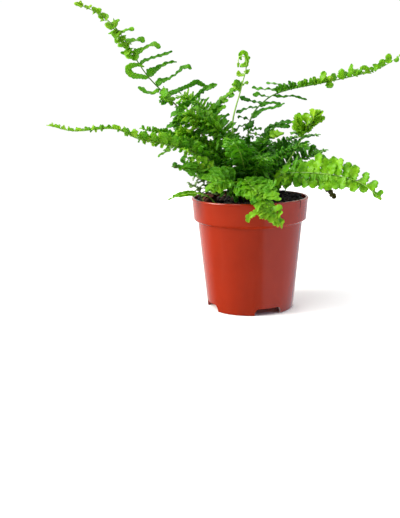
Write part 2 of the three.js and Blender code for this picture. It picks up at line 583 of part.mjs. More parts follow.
const fronds = FRONDS.map((given) => {
  const frond = { ...USUAL, ...given };
  frond.curve = new THREE.CatmullRomCurve3(frond.path.map((p) => new THREE.Vector3(...p)), false, "catmullrom", 0.5);
  frond.curve.arcLengthDivisions = 400;
  frond.length = frond.curve.getLength();
  frond.stout = frond.length > 60 ? 1 : 0.8;
  const foot = frond.path[0];
  const tip = frond.path[frond.path.length - 1];
  frond.heading = new THREE.Vector3(tip[0] - foot[0], tip[1] - foot[1], 0).normalize();
  return frond;
});

const pot = makePot();
let soil = makeSoil().subtract(crownLump(GAP)).subtract(barkLump(GAP));
let crown = crownLump(0);
fronds.forEach((frond) => {
  const hole = grownRib(frond, GAP, HOLE_DEPTH / frond.length);
  soil = soil.subtract(hole);
  crown = crown.subtract(hole);
});

const fixed = [pot, soil, crown, barkLump(0)].map(obstacle);
const ribs = fronds.map((frond) => ({ frond, ...obstacle(grownRib(frond, CLEARANCE)) }));
const grown = [];

const plant = new THREE.Group();
plant.add(named("pot", pot, "pot"), named("soil", soil, "soil"), named("crown", crown, "crown"));
plant.add(named("bark_chip", barkLump(0), "bark"));
fronds.forEach((frond) => {
  const body = growFrond(frond, [...fixed, ...ribs.filter((rib) => rib.frond !== frond), ...grown]);
  grown.push(obstacle(body));
  plant.add(named(frond.name, body, frond.tone));
});

export default plant;
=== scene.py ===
# A young ruffled fern in a small round nursery pot: finer fronds, pot, soil, crown and bark chip.
# Sizes are in millimetres until a piece is finished, when its mesh is brought to metres.

import math
import random

import bmesh
import bpy
from mathutils import Matrix, Vector, kdtree, noise


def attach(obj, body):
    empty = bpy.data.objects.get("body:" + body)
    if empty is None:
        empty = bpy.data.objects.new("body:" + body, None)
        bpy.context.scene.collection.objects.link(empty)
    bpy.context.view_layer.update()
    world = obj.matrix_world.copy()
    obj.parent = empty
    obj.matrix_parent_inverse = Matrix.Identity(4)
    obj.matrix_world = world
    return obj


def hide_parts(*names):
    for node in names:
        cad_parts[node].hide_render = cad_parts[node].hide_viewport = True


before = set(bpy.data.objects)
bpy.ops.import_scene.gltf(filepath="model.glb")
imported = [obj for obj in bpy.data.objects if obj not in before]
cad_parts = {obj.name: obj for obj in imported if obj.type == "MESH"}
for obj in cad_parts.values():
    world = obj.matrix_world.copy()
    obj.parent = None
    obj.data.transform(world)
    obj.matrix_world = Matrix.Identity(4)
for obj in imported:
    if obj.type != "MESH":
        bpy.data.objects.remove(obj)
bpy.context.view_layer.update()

UP = Vector((0, 0, 1))
MILLIMETRE = 0.001


def mix(a, b, share):
    return a + (b - a) * share


def clamp(value, low=0.0, high=1.0):
    return max(low, min(high, value))


def colour(code):
    """A colour as the shaders take it, from its usual six-digit code."""
    parts = [int(code[i : i + 2], 16) / 255 for i in (1, 3, 5)]
    return (*[((p + 0.055) / 1.055) ** 2.4 if p > 0.04045 else p / 12.92 for p in parts], 1)


def grey(level):
    return (level, level, level, 1)


def tones(*stops):
    """A ramp's stops, each from its place and its six-digit code."""
    return [(place, colour(code)) for place, code in stops]


# Finishes, whose places and heights are in metres


class Value:
    """A node's output, on which sums can be written."""

    def __init__(self, finish, socket):
        self.finish = finish
        self.socket = socket

    def maths(self, operation, *given):
        return self.finish.node("Math", {"operation": operation}, given)

    def __add__(self, other):
        return self.maths("ADD", self, other)

    def __sub__(self, other):
        return self.maths("SUBTRACT", self, other)

    def __rsub__(self, other):
        return self.maths("SUBTRACT", other, self)

    def __mul__(self, other):
        return self.maths("MULTIPLY", self, other)

    def __pow__(self, other):
        return self.maths("POWER", self, other)

    def __abs__(self):
        return self.maths("ABSOLUTE", self)

    def wave(self):
        return self.maths("COSINE", self)

    def clamped(self):
        return self.finish.node("Clamp", {}, [self])

    __radd__ = __add__
    __rmul__ = __mul__


class Finish:
    """A material, or the world's backdrop, built from nodes."""

    def __init__(self, owner):
        self.owner = owner
        owner.use_nodes = True
        self.tree = owner.node_tree
        self.tree.nodes.clear()

    def node(self, kind, settings, sockets, output=0):
        """Adds a node, makes its settings, then fills its sockets by order, name or number."""
        node = self.tree.nodes.new("ShaderNode" + kind)
        for key, value in settings.items():
            if key == "stops":
                self.set_stops(node.color_ramp.elements, value)
            else:
                setattr(node, key, value)
        pairs = sockets.items() if isinstance(sockets, dict) else enumerate(sockets)
        for key, value in pairs:
            if isinstance(value, Value):
                self.tree.links.new(value.socket, node.inputs[key])
            else:
                node.inputs[key].default_value = value
        return Value(self, node.outputs[output])

    def set_stops(self, elements, stops):
        while len(elements) < len(stops):
            elements.new(0.5)
        for element, (place, shade) in zip(elements, stops):
            element.position = place
            element.color = shade

    def attribute(self, name):
        return self.node("Attribute", {"attribute_name": name}, {}, "Fac")

    def places(self):
        return self.node("TexCoord", {}, {}, "Object")

    def noise(self, places, scale, detail=3.0, roughness=0.55):
        sockets = {"Vector": places, "Scale": scale, "Detail": detail, "Roughness": roughness}
        return self.node("TexNoise", {}, sockets, "Fac")

    def ramp(self, share, stops):
        return self.node("ValToRGB", {"stops": stops}, [share])

    def blend(self, share, a, b):
        settings = {"data_type": "RGBA", "blend_type": "MIX"}
        return self.node("Mix", settings, {0: share, 6: a, 7: b}, 2)

    def bump(self, height, distance, strength=1.0):
        return self.node("Bump", {}, {"Height": height, "Distance": distance, "Strength": strength})

    def surface(self, **sockets):
        named = {key.replace("_", " "): value for key, value in sockets.items()}
        return self.node("BsdfPrincipled", {}, named)

    def done(self, shader):
        kind = "OutputWorld" if isinstance(self.owner, bpy.types.World) else "OutputMaterial"
        end = self.tree.nodes.new("ShaderNode" + kind)
        self.tree.links.new(shader.socket, end.inputs["Surface"])
        return self.owner


def new_finish(name):
    return Finish(bpy.data.materials.new(name))


LEAF_PATCHES = 240.0
LEAF_GRAIN = 1100.0
LEAF_RELIEF = 0.00006
LIGHT_THROUGH_LEAF = 0.42

# Veins leave the midrib this many times in 2 pi mm, and slant towards the tip.
VEINS = 4.2
VEIN_SLANT = 4.4
VEIN_SHARPNESS = 8.0


def leaf_finish(name, stops):
    """Ruffled leaf: paler where its age is higher and along its veins, and brown where it is below 0."""
    make = new_finish(name)
    places = make.places()
    patch = make.noise(places, LEAF_PATCHES)
    grain = make.noise(places, LEAF_GRAIN, 2.0)
    across = abs(make.attribute("across"))
    along = make.attribute("along")
    age = make.attribute("age")
    youth = (age + (patch - 0.5) * 0.5 + (grain - 0.5) * 0.16).clamped()
    blade = make.ramp(youth, stops)
    midrib = (1.0 - across * 7.0).clamped()
    veins = ((along * VEINS - across * VEIN_SLANT).wave() * 0.5 + 0.5) ** VEIN_SHARPNESS
    pale = (midrib * 0.3 + veins * 0.14 + (across - 0.82).clamped() * 0.9).clamped()
    fresh = make.blend(pale, blade, colour("#7fae1c"))
    dry = (age * -5.0).clamped()
    shade = make.blend(dry, fresh, colour("#5a3a16"))
    normal = make.bump(midrib * 0.7 + veins * 0.3 + grain * 0.2, LEAF_RELIEF, 0.5)
    gloss = make.surface(
        Base_Color=shade, Roughness=grain * 0.2 + 0.3, Normal=normal, Specular_IOR_Level=0.3
    )
    thin = make.node("BsdfTranslucent", {}, {"Color": shade, "Normal": normal})
    return make.done(make.node("MixShader", {}, [LIGHT_THROUGH_LEAF, gloss, thin]))


def rib_finish(stops):
    make = new_finish("fern_rib")
    patch = make.noise(make.places(), 700.0)
    age = (make.attribute("age") + (patch - 0.5) * 0.4).clamped()
    shade = make.ramp(age, stops)
    normal = make.bump(patch, 0.0001)
    return make.done(make.surface(Base_Color=shade, Roughness=0.5, Normal=normal))


def pot_finish(stops):
    """Thin moulded plastic: satin, a little mottled, with faint smears of dried water and soil."""
    make = new_finish("moulded_pot")
    places = make.places()
    cloud = make.noise(places, 38.0, 4.0)
    fine = make.noise(places, 900.0, 2.0)
    stretched = make.node("Mapping", {}, {"Vector": places, "Scale": (1.0, 1.0, 0.16)})
    smear = make.noise(stretched, 150.0, 4.0, 0.6)
    marks = ((smear - 0.58) * 4.0).clamped() * 0.06
    shade = make.blend(marks, make.ramp(cloud, stops), colour("#b0583c"))
    normal = make.bump(fine, 0.000008)
    gloss = make.surface(
        Base_Color=shade, Roughness=smear * 0.1 + 0.14, Normal=normal, Specular_IOR_Level=0.4
    )
    return make.done(gloss)


def earth_finish(name, dark, middle, light, scale):
    """Rough earth, bark or scales, lumpy at one scale and gritty at a finer one."""
    make = new_finish(name)
    places = make.places()
    lumps = make.noise(places, scale, 5.0, 0.65)
    fine = make.noise(places, scale * 5.0, 3.0)
    share = (lumps * 0.8 + make.attribute("age") * 0.5 - 0.2).clamped()
    shade = make.ramp(share, tones((0.3, dark), (0.58, middle), (0.85, light)))
    normal = make.bump(lumps + fine * 0.6, 0.0006)
    return make.done(make.surface(Base_Color=shade, Roughness=fine * 0.2 + 0.78, Normal=normal))


LEAF = leaf_finish(
    "fern_leaf",
    tones((0.0, "#205c06"), (0.3, "#388608"), (0.55, "#5aa80c"), (0.78, "#86c418"), (1.0, "#b0d834")),
)
PALE_LEAF = leaf_finish("young_fern_leaf", tones((0.0, "#4a7430"), (0.5, "#7a9c5a"), (1.0, "#a4ba86")))
RIB = rib_finish(
    tones((0.0, "#4a2c12"), (0.22, "#5e4a1e"), (0.45, "#4e7a22"), (0.75, "#7fae34"), (1.0, "#a4cf5a"))
)
POT = pot_finish(tones((0.3, "#88230b"), (0.7, "#92270d")))
SOIL = earth_finish("potting_soil", "#0d0806", "#251812", "#57392a", 420.0)
CRUMB = earth_finish("soil_crumbs", "#100a07", "#2e1d15", "#6a4633", 900.0)
CROWN = earth_finish("crown_scales", "#2a180c", "#4d3119", "#7a5a33", 800.0)
BARK = earth_finish("bark_chip", "#3a1c14", "#6b3a2a", "#9a6450", 520.0)


# Pieces


def prepared(shape):
    """A mesh in the making, with room for the values that the finishes read."""
    for name in ("along", "across", "age"):
        if name not in shape.verts.layers.float:
            shape.verts.layers.float.new(name)
    return shape


def begin():
    return prepared(bmesh.new())


def note(shape, verts, **values):
    for name, value in values.items():
        layer = shape.verts.layers.float[name]
        for v in verts:
            v[layer] = value


def turn_full(shape, geom, steps):
    """Turns a section all the way about the pot's axis, and closes its seam."""
    bmesh.ops.spin(
        shape, geom=geom, cent=(0, 0, 0), axis=(0, 0, 1), dvec=(0, 0, 0), angle=math.tau,
        steps=steps, use_merge=True, use_duplicate=False,
    )
    bmesh.ops.remove_doubles(shape, verts=shape.verts, dist=1e-4)


def finish_piece(name, shape, materials, replaced=(), smooth=True):
    """Turns a finished shape into a piece that rides with the plant."""
    bmesh.ops.recalc_face_normals(shape, faces=shape.faces)
    bmesh.ops.scale(shape, vec=[MILLIMETRE] * 3, verts=shape.verts)
    mesh = bpy.data.meshes.new(name)
    shape.to_mesh(mesh)
    shape.free()
    for polygon in mesh.polygons:
        polygon.use_smooth = smooth
    for material in materials:
        mesh.materials.append(material)
    piece = bpy.data.objects.new(name, mesh)
    bpy.context.scene.collection.objects.link(piece)
    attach(piece, "root")
    if replaced:
        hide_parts(*replaced)
    return piece


# Pot

FOOT_RADIUS = 22.5
POT_SECTION = [
    # radius, height, rounding
    (0, 3.9, 0),
    (20.9, 3.9, 0.5),
    (20.9, 0, 0.3),
    (FOOT_RADIUS, 0, 0.4),
    (26.9, 45.1, 0.35),
    (28.9, 46.3, 0.3),
    (29.7, 56.4, 0.12),
    (30, 56.6, 0.12),
    (30, 57.1, 0.3),
    (29.65, 57.5, 0.2),
    (28.7, 57.5, 0.3),
    (28.6, 56.4, 0.1),
    (27.8, 46.85, 0.5),
    (25.8, 45.65, 0.4),
    (21.89, 5, 0.8),
    (0, 5, 0),
]
POT_STEPS = 160
NOTCHES = 4
NOTCH_SIZE = (14.4, 22.5, 7)
NOTCH_ROUND = 2.4
NOTCH_TURN = math.radians(20)
DRAIN_RADIUS = 2.3
DRAIN_CIRCLE = 13
DRAIN_HEIGHT = 4.5
DRAIN_CUT = 3
DRAIN_SIDES = 28
SHARPEST_SMOOTH = math.radians(42)


def pot_shell():
    """The pot's section, rounded at its corners and turned about the axis."""
    shape = begin()
    corners = [shape.verts.new((r, 0, z)) for r, z, _ in POT_SECTION]
    shape.faces.new(corners)
    for rounding in sorted({c[2] for c in POT_SECTION if c[2]}):
        chosen = [v for v, c in zip(corners, POT_SECTION) if c[2] == rounding]
        bmesh.ops.bevel(
            shape, geom=chosen, offset=rounding, affect="VERTICES", segments=4, profile=0.5, material=-1
        )
    bmesh.ops.delete(shape, geom=shape.faces[:], context="FACES_ONLY")
    axis = [e for e in shape.edges if all(abs(v.co.x) < 1e-6 for v in e.verts)]
    bmesh.ops.delete(shape, geom=axis, context="EDGES")
    turn_full(shape, shape.verts[:] + shape.edges[:], POT_STEPS)
    bmesh.ops.recalc_face_normals(shape, faces=shape.faces)
    return shape


def drill_hole(shape, place):
    bmesh.ops.create_cone(
        shape, cap_ends=True, segments=DRAIN_SIDES, radius1=DRAIN_RADIUS, radius2=DRAIN_RADIUS,
        depth=DRAIN_CUT, matrix=place,
    )


def pot_cutter():
    """The notches in the foot and the drain holes, as one set of separate blocks."""
    shape = bmesh.new()
    for i in range(NOTCHES):
        turn = Matrix.Rotation(NOTCH_TURN + i * math.tau / NOTCHES, 4, "Z")
        block = bmesh.ops.create_cube(shape, size=1)["verts"]
        bmesh.ops.scale(shape, vec=NOTCH_SIZE, verts=block)
        arch = []
        for e in {e for v in block for e in v.link_edges}:
            a, b = e.verts
            if a.co.z > 0 and b.co.z > 0 and abs(a.co.x - b.co.x) < 1e-6:
                arch.append(e)
        made = bmesh.ops.bevel(
            shape, geom=arch, offset=NOTCH_ROUND, affect="EDGES", segments=6, profile=0.5, material=-1
        )
        block = list({v for v in block if v.is_valid} | set(made["verts"]))
        bmesh.ops.translate(shape, vec=(0, -FOOT_RADIUS, 0), verts=block)
        bmesh.ops.transform(shape, matrix=turn, verts=block)
        drill_hole(shape, turn @ Matrix.Translation((0, -DRAIN_CIRCLE, DRAIN_HEIGHT)))
    drill_hole(shape, Matrix.Translation((0, 0, DRAIN_HEIGHT)))
    bmesh.ops.recalc_face_normals(shape, faces=shape.faces)
    return shape


def plain_object(name, shape):
    """An object that is no piece of the plant."""
    mesh = bpy.data.meshes.new(name)
    shape.to_mesh(mesh)
    shape.free()
    made = bpy.data.objects.new(name, mesh)
    bpy.context.scene.collection.objects.link(made)
    return made


def make_pot():
    body = plain_object("pot_blank", pot_shell())
    cutter = plain_object("pot_cutter", pot_cutter())
    cut = body.modifiers.new("cut", "BOOLEAN")
    cut.operation = "DIFFERENCE"
    cut.solver = "EXACT"
    cut.object = cutter
    bpy.context.view_layer.update()
    cut_body = body.evaluated_get(bpy.context.evaluated_depsgraph_get())
    shape = bmesh.new()
    shape.from_mesh(cut_body.data)
    bpy.data.objects.remove(body)
    bpy.data.objects.remove(cutter)
    pot = finish_piece("round_pot", prepared(shape), [POT], ["pot"])
    pot.data.set_sharp_from_angle(angle=SHARPEST_SMOOTH)


# Soil

SOIL_TOP = 55.0
SOIL_RADIUS = 28.35
SOIL_STEPS = 140
SOIL_RINGS = 40
SOIL_WALL = [(0, 5.3), (21.6, 5.3), (25.5, 45.65), (27.5, 46.85)]
HEAP = Vector((17, 9, 0))
HEAP_HEIGHT = 2.6
HEAP_SPREAD = 12
CRUMBS = 1100
CRUMB_REACH = 27.4
CRUMB_SEED = 41
FIBRES = 150
FIBRE_REACH = 25
FARTHEST_FIBRE = 28
FIBRE_SEED = 97

# A thread of root that hangs over the rim at the front right.
STRAY_FIBRE = [
    (21.4, -15.6, 56.4), (22.2, -17.6, 57.5), (22.9, -19.4, 57.9), (23.2, -20.4, 56.9),
    (23.1, -20.6, 55.0), (22.9, -20.6, 53.6),
]


def soil_height(x, y):
    heap = HEAP_HEIGHT * math.exp(-(((x - HEAP.x) ** 2 + (y - HEAP.y) ** 2) / HEAP_SPREAD**2))
    coarse = noise.noise(Vector((x * 0.22, y * 0.22, 3.1))) * 1.3
    fine = noise.noise(Vector((x * 0.75, y * 0.75, 8.4))) * 0.8
    return SOIL_TOP + heap + coarse + fine


def make_soil():
    top = [(SOIL_RADIUS * (1 - i / SOIL_RINGS), SOIL_TOP) for i in range(SOIL_RINGS + 1)]
    shape = begin()
    line = [shape.verts.new((r, 0, z)) for r, z in SOIL_WALL + top]
    edges = [shape.edges.new(pair) for pair in zip(line, line[1:])]
    turn_full(shape, line + edges, SOIL_STEPS)
    age = shape.verts.layers.float["age"]
    for v in shape.verts:
        if v.co.z > SOIL_TOP - 0.01:
            v.co.z = soil_height(v.co.x, v.co.y)
            v[age] = 0.4 + 0.4 * noise.noise(v.co * 0.5)
    finish_piece("soil_bed", shape, [SOIL], ["soil"])


def ground_spot(draw, reach):
    """A random place on the soil, as a point."""
    turn = draw.uniform(0, math.tau)
    radius = reach * math.sqrt(draw.random())
    x, y = radius * math.cos(turn), radius * math.sin(turn)
    return Vector((x, y, soil_height(x, y)))


def turned_about(draw):
    """A random turn."""
    spin = Matrix.Rotation(draw.uniform(0, math.tau), 4, "Z")
    tip = Matrix.Rotation(draw.uniform(0, math.pi), 4, "X")
    return spin @ tip


def make_crumbs():
    draw = random.Random(CRUMB_SEED)
    shape = begin()
    for _ in range(CRUMBS):
        spot = ground_spot(draw, CRUMB_REACH)
        size = 0.35 + 0.95 * draw.random() ** 2.5
        stretch = Matrix.Diagonal((size * draw.uniform(0.8, 1.7), size, size * draw.uniform(0.5, 0.9), 1))
        place = Matrix.Translation(spot + UP * size * 0.25) @ turned_about(draw) @ stretch
        verts = bmesh.ops.create_icosphere(shape, subdivisions=1, radius=1, matrix=place)["verts"]
        for v in verts:
            v.co += (v.co - spot) * draw.uniform(-0.2, 0.2)
        note(shape, verts, age=draw.uniform(0.1, 1.0) ** 2)
    finish_piece("soil_crumbs", shape, [CRUMB], smooth=False)


def loop_edges(ring):
    """The edges that run round a ring of vertices."""
    chosen = set(ring)
    return [e for e in {e for v in ring for e in v.link_edges} if all(v in chosen for v in e.verts)]


def add_ring(shape, ring, sides, radius, place, capped):
    """The next ring of a round tube, bridged to the ring before it."""
    made = bmesh.ops.create_circle(shape, cap_ends=capped, segments=sides, radius=radius, matrix=place)
    if ring:
        bmesh.ops.bridge_loops(shape, edges=loop_edges(ring) + loop_edges(made["verts"]))
    return made["verts"]


def thread(shape, path, radius, sides, age):
    """A thin round thread through some points, tapering to its end."""
    last = len(path) - 1
    ring = None
    for i, point in enumerate(path):
        ahead = (path[min(i + 1, last)] - path[max(i - 1, 0)]).normalized()
        place = Matrix.Translation(point) @ ahead.to_track_quat("Z", "Y").to_matrix().to_4x4()
        ring = add_ring(shape, ring, sides, radius * (1 - 0.55 * i / last), place, i in (0, last))
        note(shape, ring, age=age)


def make_fibres():
    """Fine roots and fibres that lie in the soil, and one thread that hangs over the rim."""
    draw = random.Random(FIBRE_SEED)
    shape = begin()
    for _ in range(FIBRES):
        spot = ground_spot(draw, FIBRE_REACH)
        heading = draw.uniform(0, math.tau)
        bend = draw.uniform(-0.6, 0.6)
        path = []
        for step in range(5):
            height = soil_height(spot.x, spot.y) + 0.15 + 0.6 * math.sin(step * math.pi / 4) * draw.random()
            path.append(Vector((spot.x, spot.y, height)))
            spot = spot + Vector((math.cos(heading), math.sin(heading), 0)) * draw.uniform(0.7, 1.6)
            if spot.xy.length > FARTHEST_FIBRE:
                break
            heading += bend
        if len(path) > 2:
            thread(shape, path, draw.uniform(0.09, 0.17), 4, draw.uniform(0.4, 1.0))
    thread(shape, [Vector(p) for p in STRAY_FIBRE], 0.22, 6, 0.2)
    finish_piece("root_fibres", shape, [CRUMB])


# Crown and bark

CROWN_CENTRE = Vector((0, 0, 53))
CROWN_SIZE = (8.6, 8.6, 6.7)
SCALES = 420
SCALE_SEED = 12
BARK_CENTRE = Vector((-20.5, -8, 57.6))
BARK_SIZE = (3.4, 2.8, 2.5)
BARK_TURN = math.radians(24)


def roughened(shape, verts, centre, amount, scale, seed):
    for v in verts:
        out = v.co - centre
        rough = noise.fractal(v.co * scale + Vector((seed, 0, 0)), 1.0, 2.0, 4)
        v.co += out.normalized() * rough * amount


def scale_sliver(shape, root, ahead, length, width, age):
    """One chaffy scale: a flat, tapering point."""
    turn = ahead.to_track_quat("Z", "X").to_matrix().to_4x4()
    place = Matrix.Translation(root + ahead * length * 0.5) @ turn @ Matrix.Diagonal((1, 0.35, 1, 1))
    made = bmesh.ops.create_cone(
        shape, cap_ends=True, segments=4, radius1=width, radius2=width * 0.12, depth=length, matrix=place
    )
    note(shape, made["verts"], age=age)


def make_crown():
    shape = begin()
    place = Matrix.Translation(CROWN_CENTRE) @ Matrix.Diagonal((*CROWN_SIZE, 1))
    verts = bmesh.ops.create_icosphere(shape, subdivisions=4, radius=1, matrix=place)["verts"]
    roughened(shape, verts, CROWN_CENTRE, 1.1, 0.35, 5)
    note(shape, verts, age=0.4)
    draw = random.Random(SCALE_SEED)
    for _ in range(SCALES):
        turn = draw.uniform(0, math.tau)
        rise = math.asin(draw.uniform(0.1, 1))
        out = Vector((math.cos(turn) * math.cos(rise), math.sin(turn) * math.cos(rise), math.sin(rise)))
        root = CROWN_CENTRE + Vector((out.x * 8.2, out.y * 8.2, out.z * 6.3))
        astray = Vector((draw.uniform(-0.5, 0.5), draw.uniform(-0.5, 0.5), 0))
        lean = (out + UP * 0.8 + astray).normalized()
        length, width = draw.uniform(1.2, 2.6), draw.uniform(0.2, 0.36)
        scale_sliver(shape, root, lean, length, width, draw.uniform(0.3, 1))
    finish_piece("scaly_crown", shape, [CROWN], ["crown"])


def make_bark():
    shape = begin()
    turn = Matrix.Rotation(BARK_TURN, 4, "Z")
    place = Matrix.Translation(BARK_CENTRE) @ turn @ Matrix.Diagonal((*BARK_SIZE, 1))
    verts = bmesh.ops.create_icosphere(shape, subdivisions=5, radius=1, matrix=place)["verts"]
    across = turn.to_3x3() @ Vector((0.25, 0.9, 0.35))
    for v in verts:
        out = v.co - BARK_CENTRE
        ridge = abs(math.sin(out.dot(across) * 2.3 + noise.noise(v.co * 0.6) * 2.2))
        v.co += out.normalized() * (0.32 * ridge - 0.2)
    roughened(shape, verts, BARK_CENTRE, 0.5, 0.7, 2)
    note(shape, verts, age=0.5)
    finish_piece("rough_bark_chip", shape, [BARK], ["bark_chip"])


# Fronds, finer than the frond solids, and five of them up to 6 mm off the solid's rib at the tip

RIB_RADIUS = (0.62, 0.2)
RIB_SIDES = 8
RIB_STEP = 1.6
FEWEST_RIB_STEPS = 14
LONG_RIB = 60
BLADE_THICKNESS = 0.18
THICKEST = 0.4
LOBE_PITCH = 1.75
FEWEST_COLUMNS = 10
COLUMNS_A_LOBE = 4
LONG_BLADE = 6
STEEPEST_FOLD = 54
FULL_FOLD_LENGTH = 4
FULL_HOOK_LENGTH = 7
FULL_TWIST_LENGTH = 9

# Towards the tip the spans between leaflets shorten from 1 + CROWDING to 1 - CROWDING of their mean.
CROWDING = 0.34

# The first leaflets have this share of the full length, and the next ones lengthen.
FIRST_SHARE = 0.6
LENGTHENING = 2.6
SHORTEST_LEAFLET = 2.2
WIDEST_TO_PITCH = 1.62
WIDEST_TO_LEAF = 0.5
END_TO_LEAF = 0.24
WIDEST_SWAY = math.radians(26)
ROW_FACE = Vector((-0.35, -0.65, 0.67)).normalized()

# What a listed leaflet has where its own look doesn't say otherwise.
SET_LOOK = dict(waist=0.5, swell=1.25, lobes=0.2, ruffle=0.4, fingers=1, face=(-0.25, -0.7, 0.65))

# Looks that such leaflets share: a small blunt leaflet that shows its face to the front, a broad
# smooth lobe, a slim leaflet that stands off by itself, and leaflets that are broad, as wide at the tip
# as at the root, not nipped in at all, parted into three, forked in two, ragged, or nipped in a little.
BLOB = dict(waist=0, swell=1, lobes=0.14, ruffle=0.3, face=(-0.2, -0.9, 0.3))
LOBE = dict(waist=0, swell=1.1, lobes=0.3, ruffle=0.25, face=(-0.4, -0.56, 0.72))
SLIM = dict(lobes=0.2, ruffle=0.3, face=(-0.2, -0.9, 0.4))
BROAD = dict(waist=0, swell=1, lobes=0.26, ruffle=0.6)
ROUND = dict(waist=0, swell=1)
EVEN = dict(waist=0)
PARTED = dict(fingers=3, waist=0.1)
FORKED = dict(fingers=2)
RAGGED = dict(lobes=0.5, ruffle=1)
NIPPED = dict(waist=0.1)


def blades(look, *leaflets):
    """Leaflets of one look. Each has a width, an age and the points that it runs through."""
    return [dict(look, width=width, age=age, path=path) for width, age, *path in leaflets]
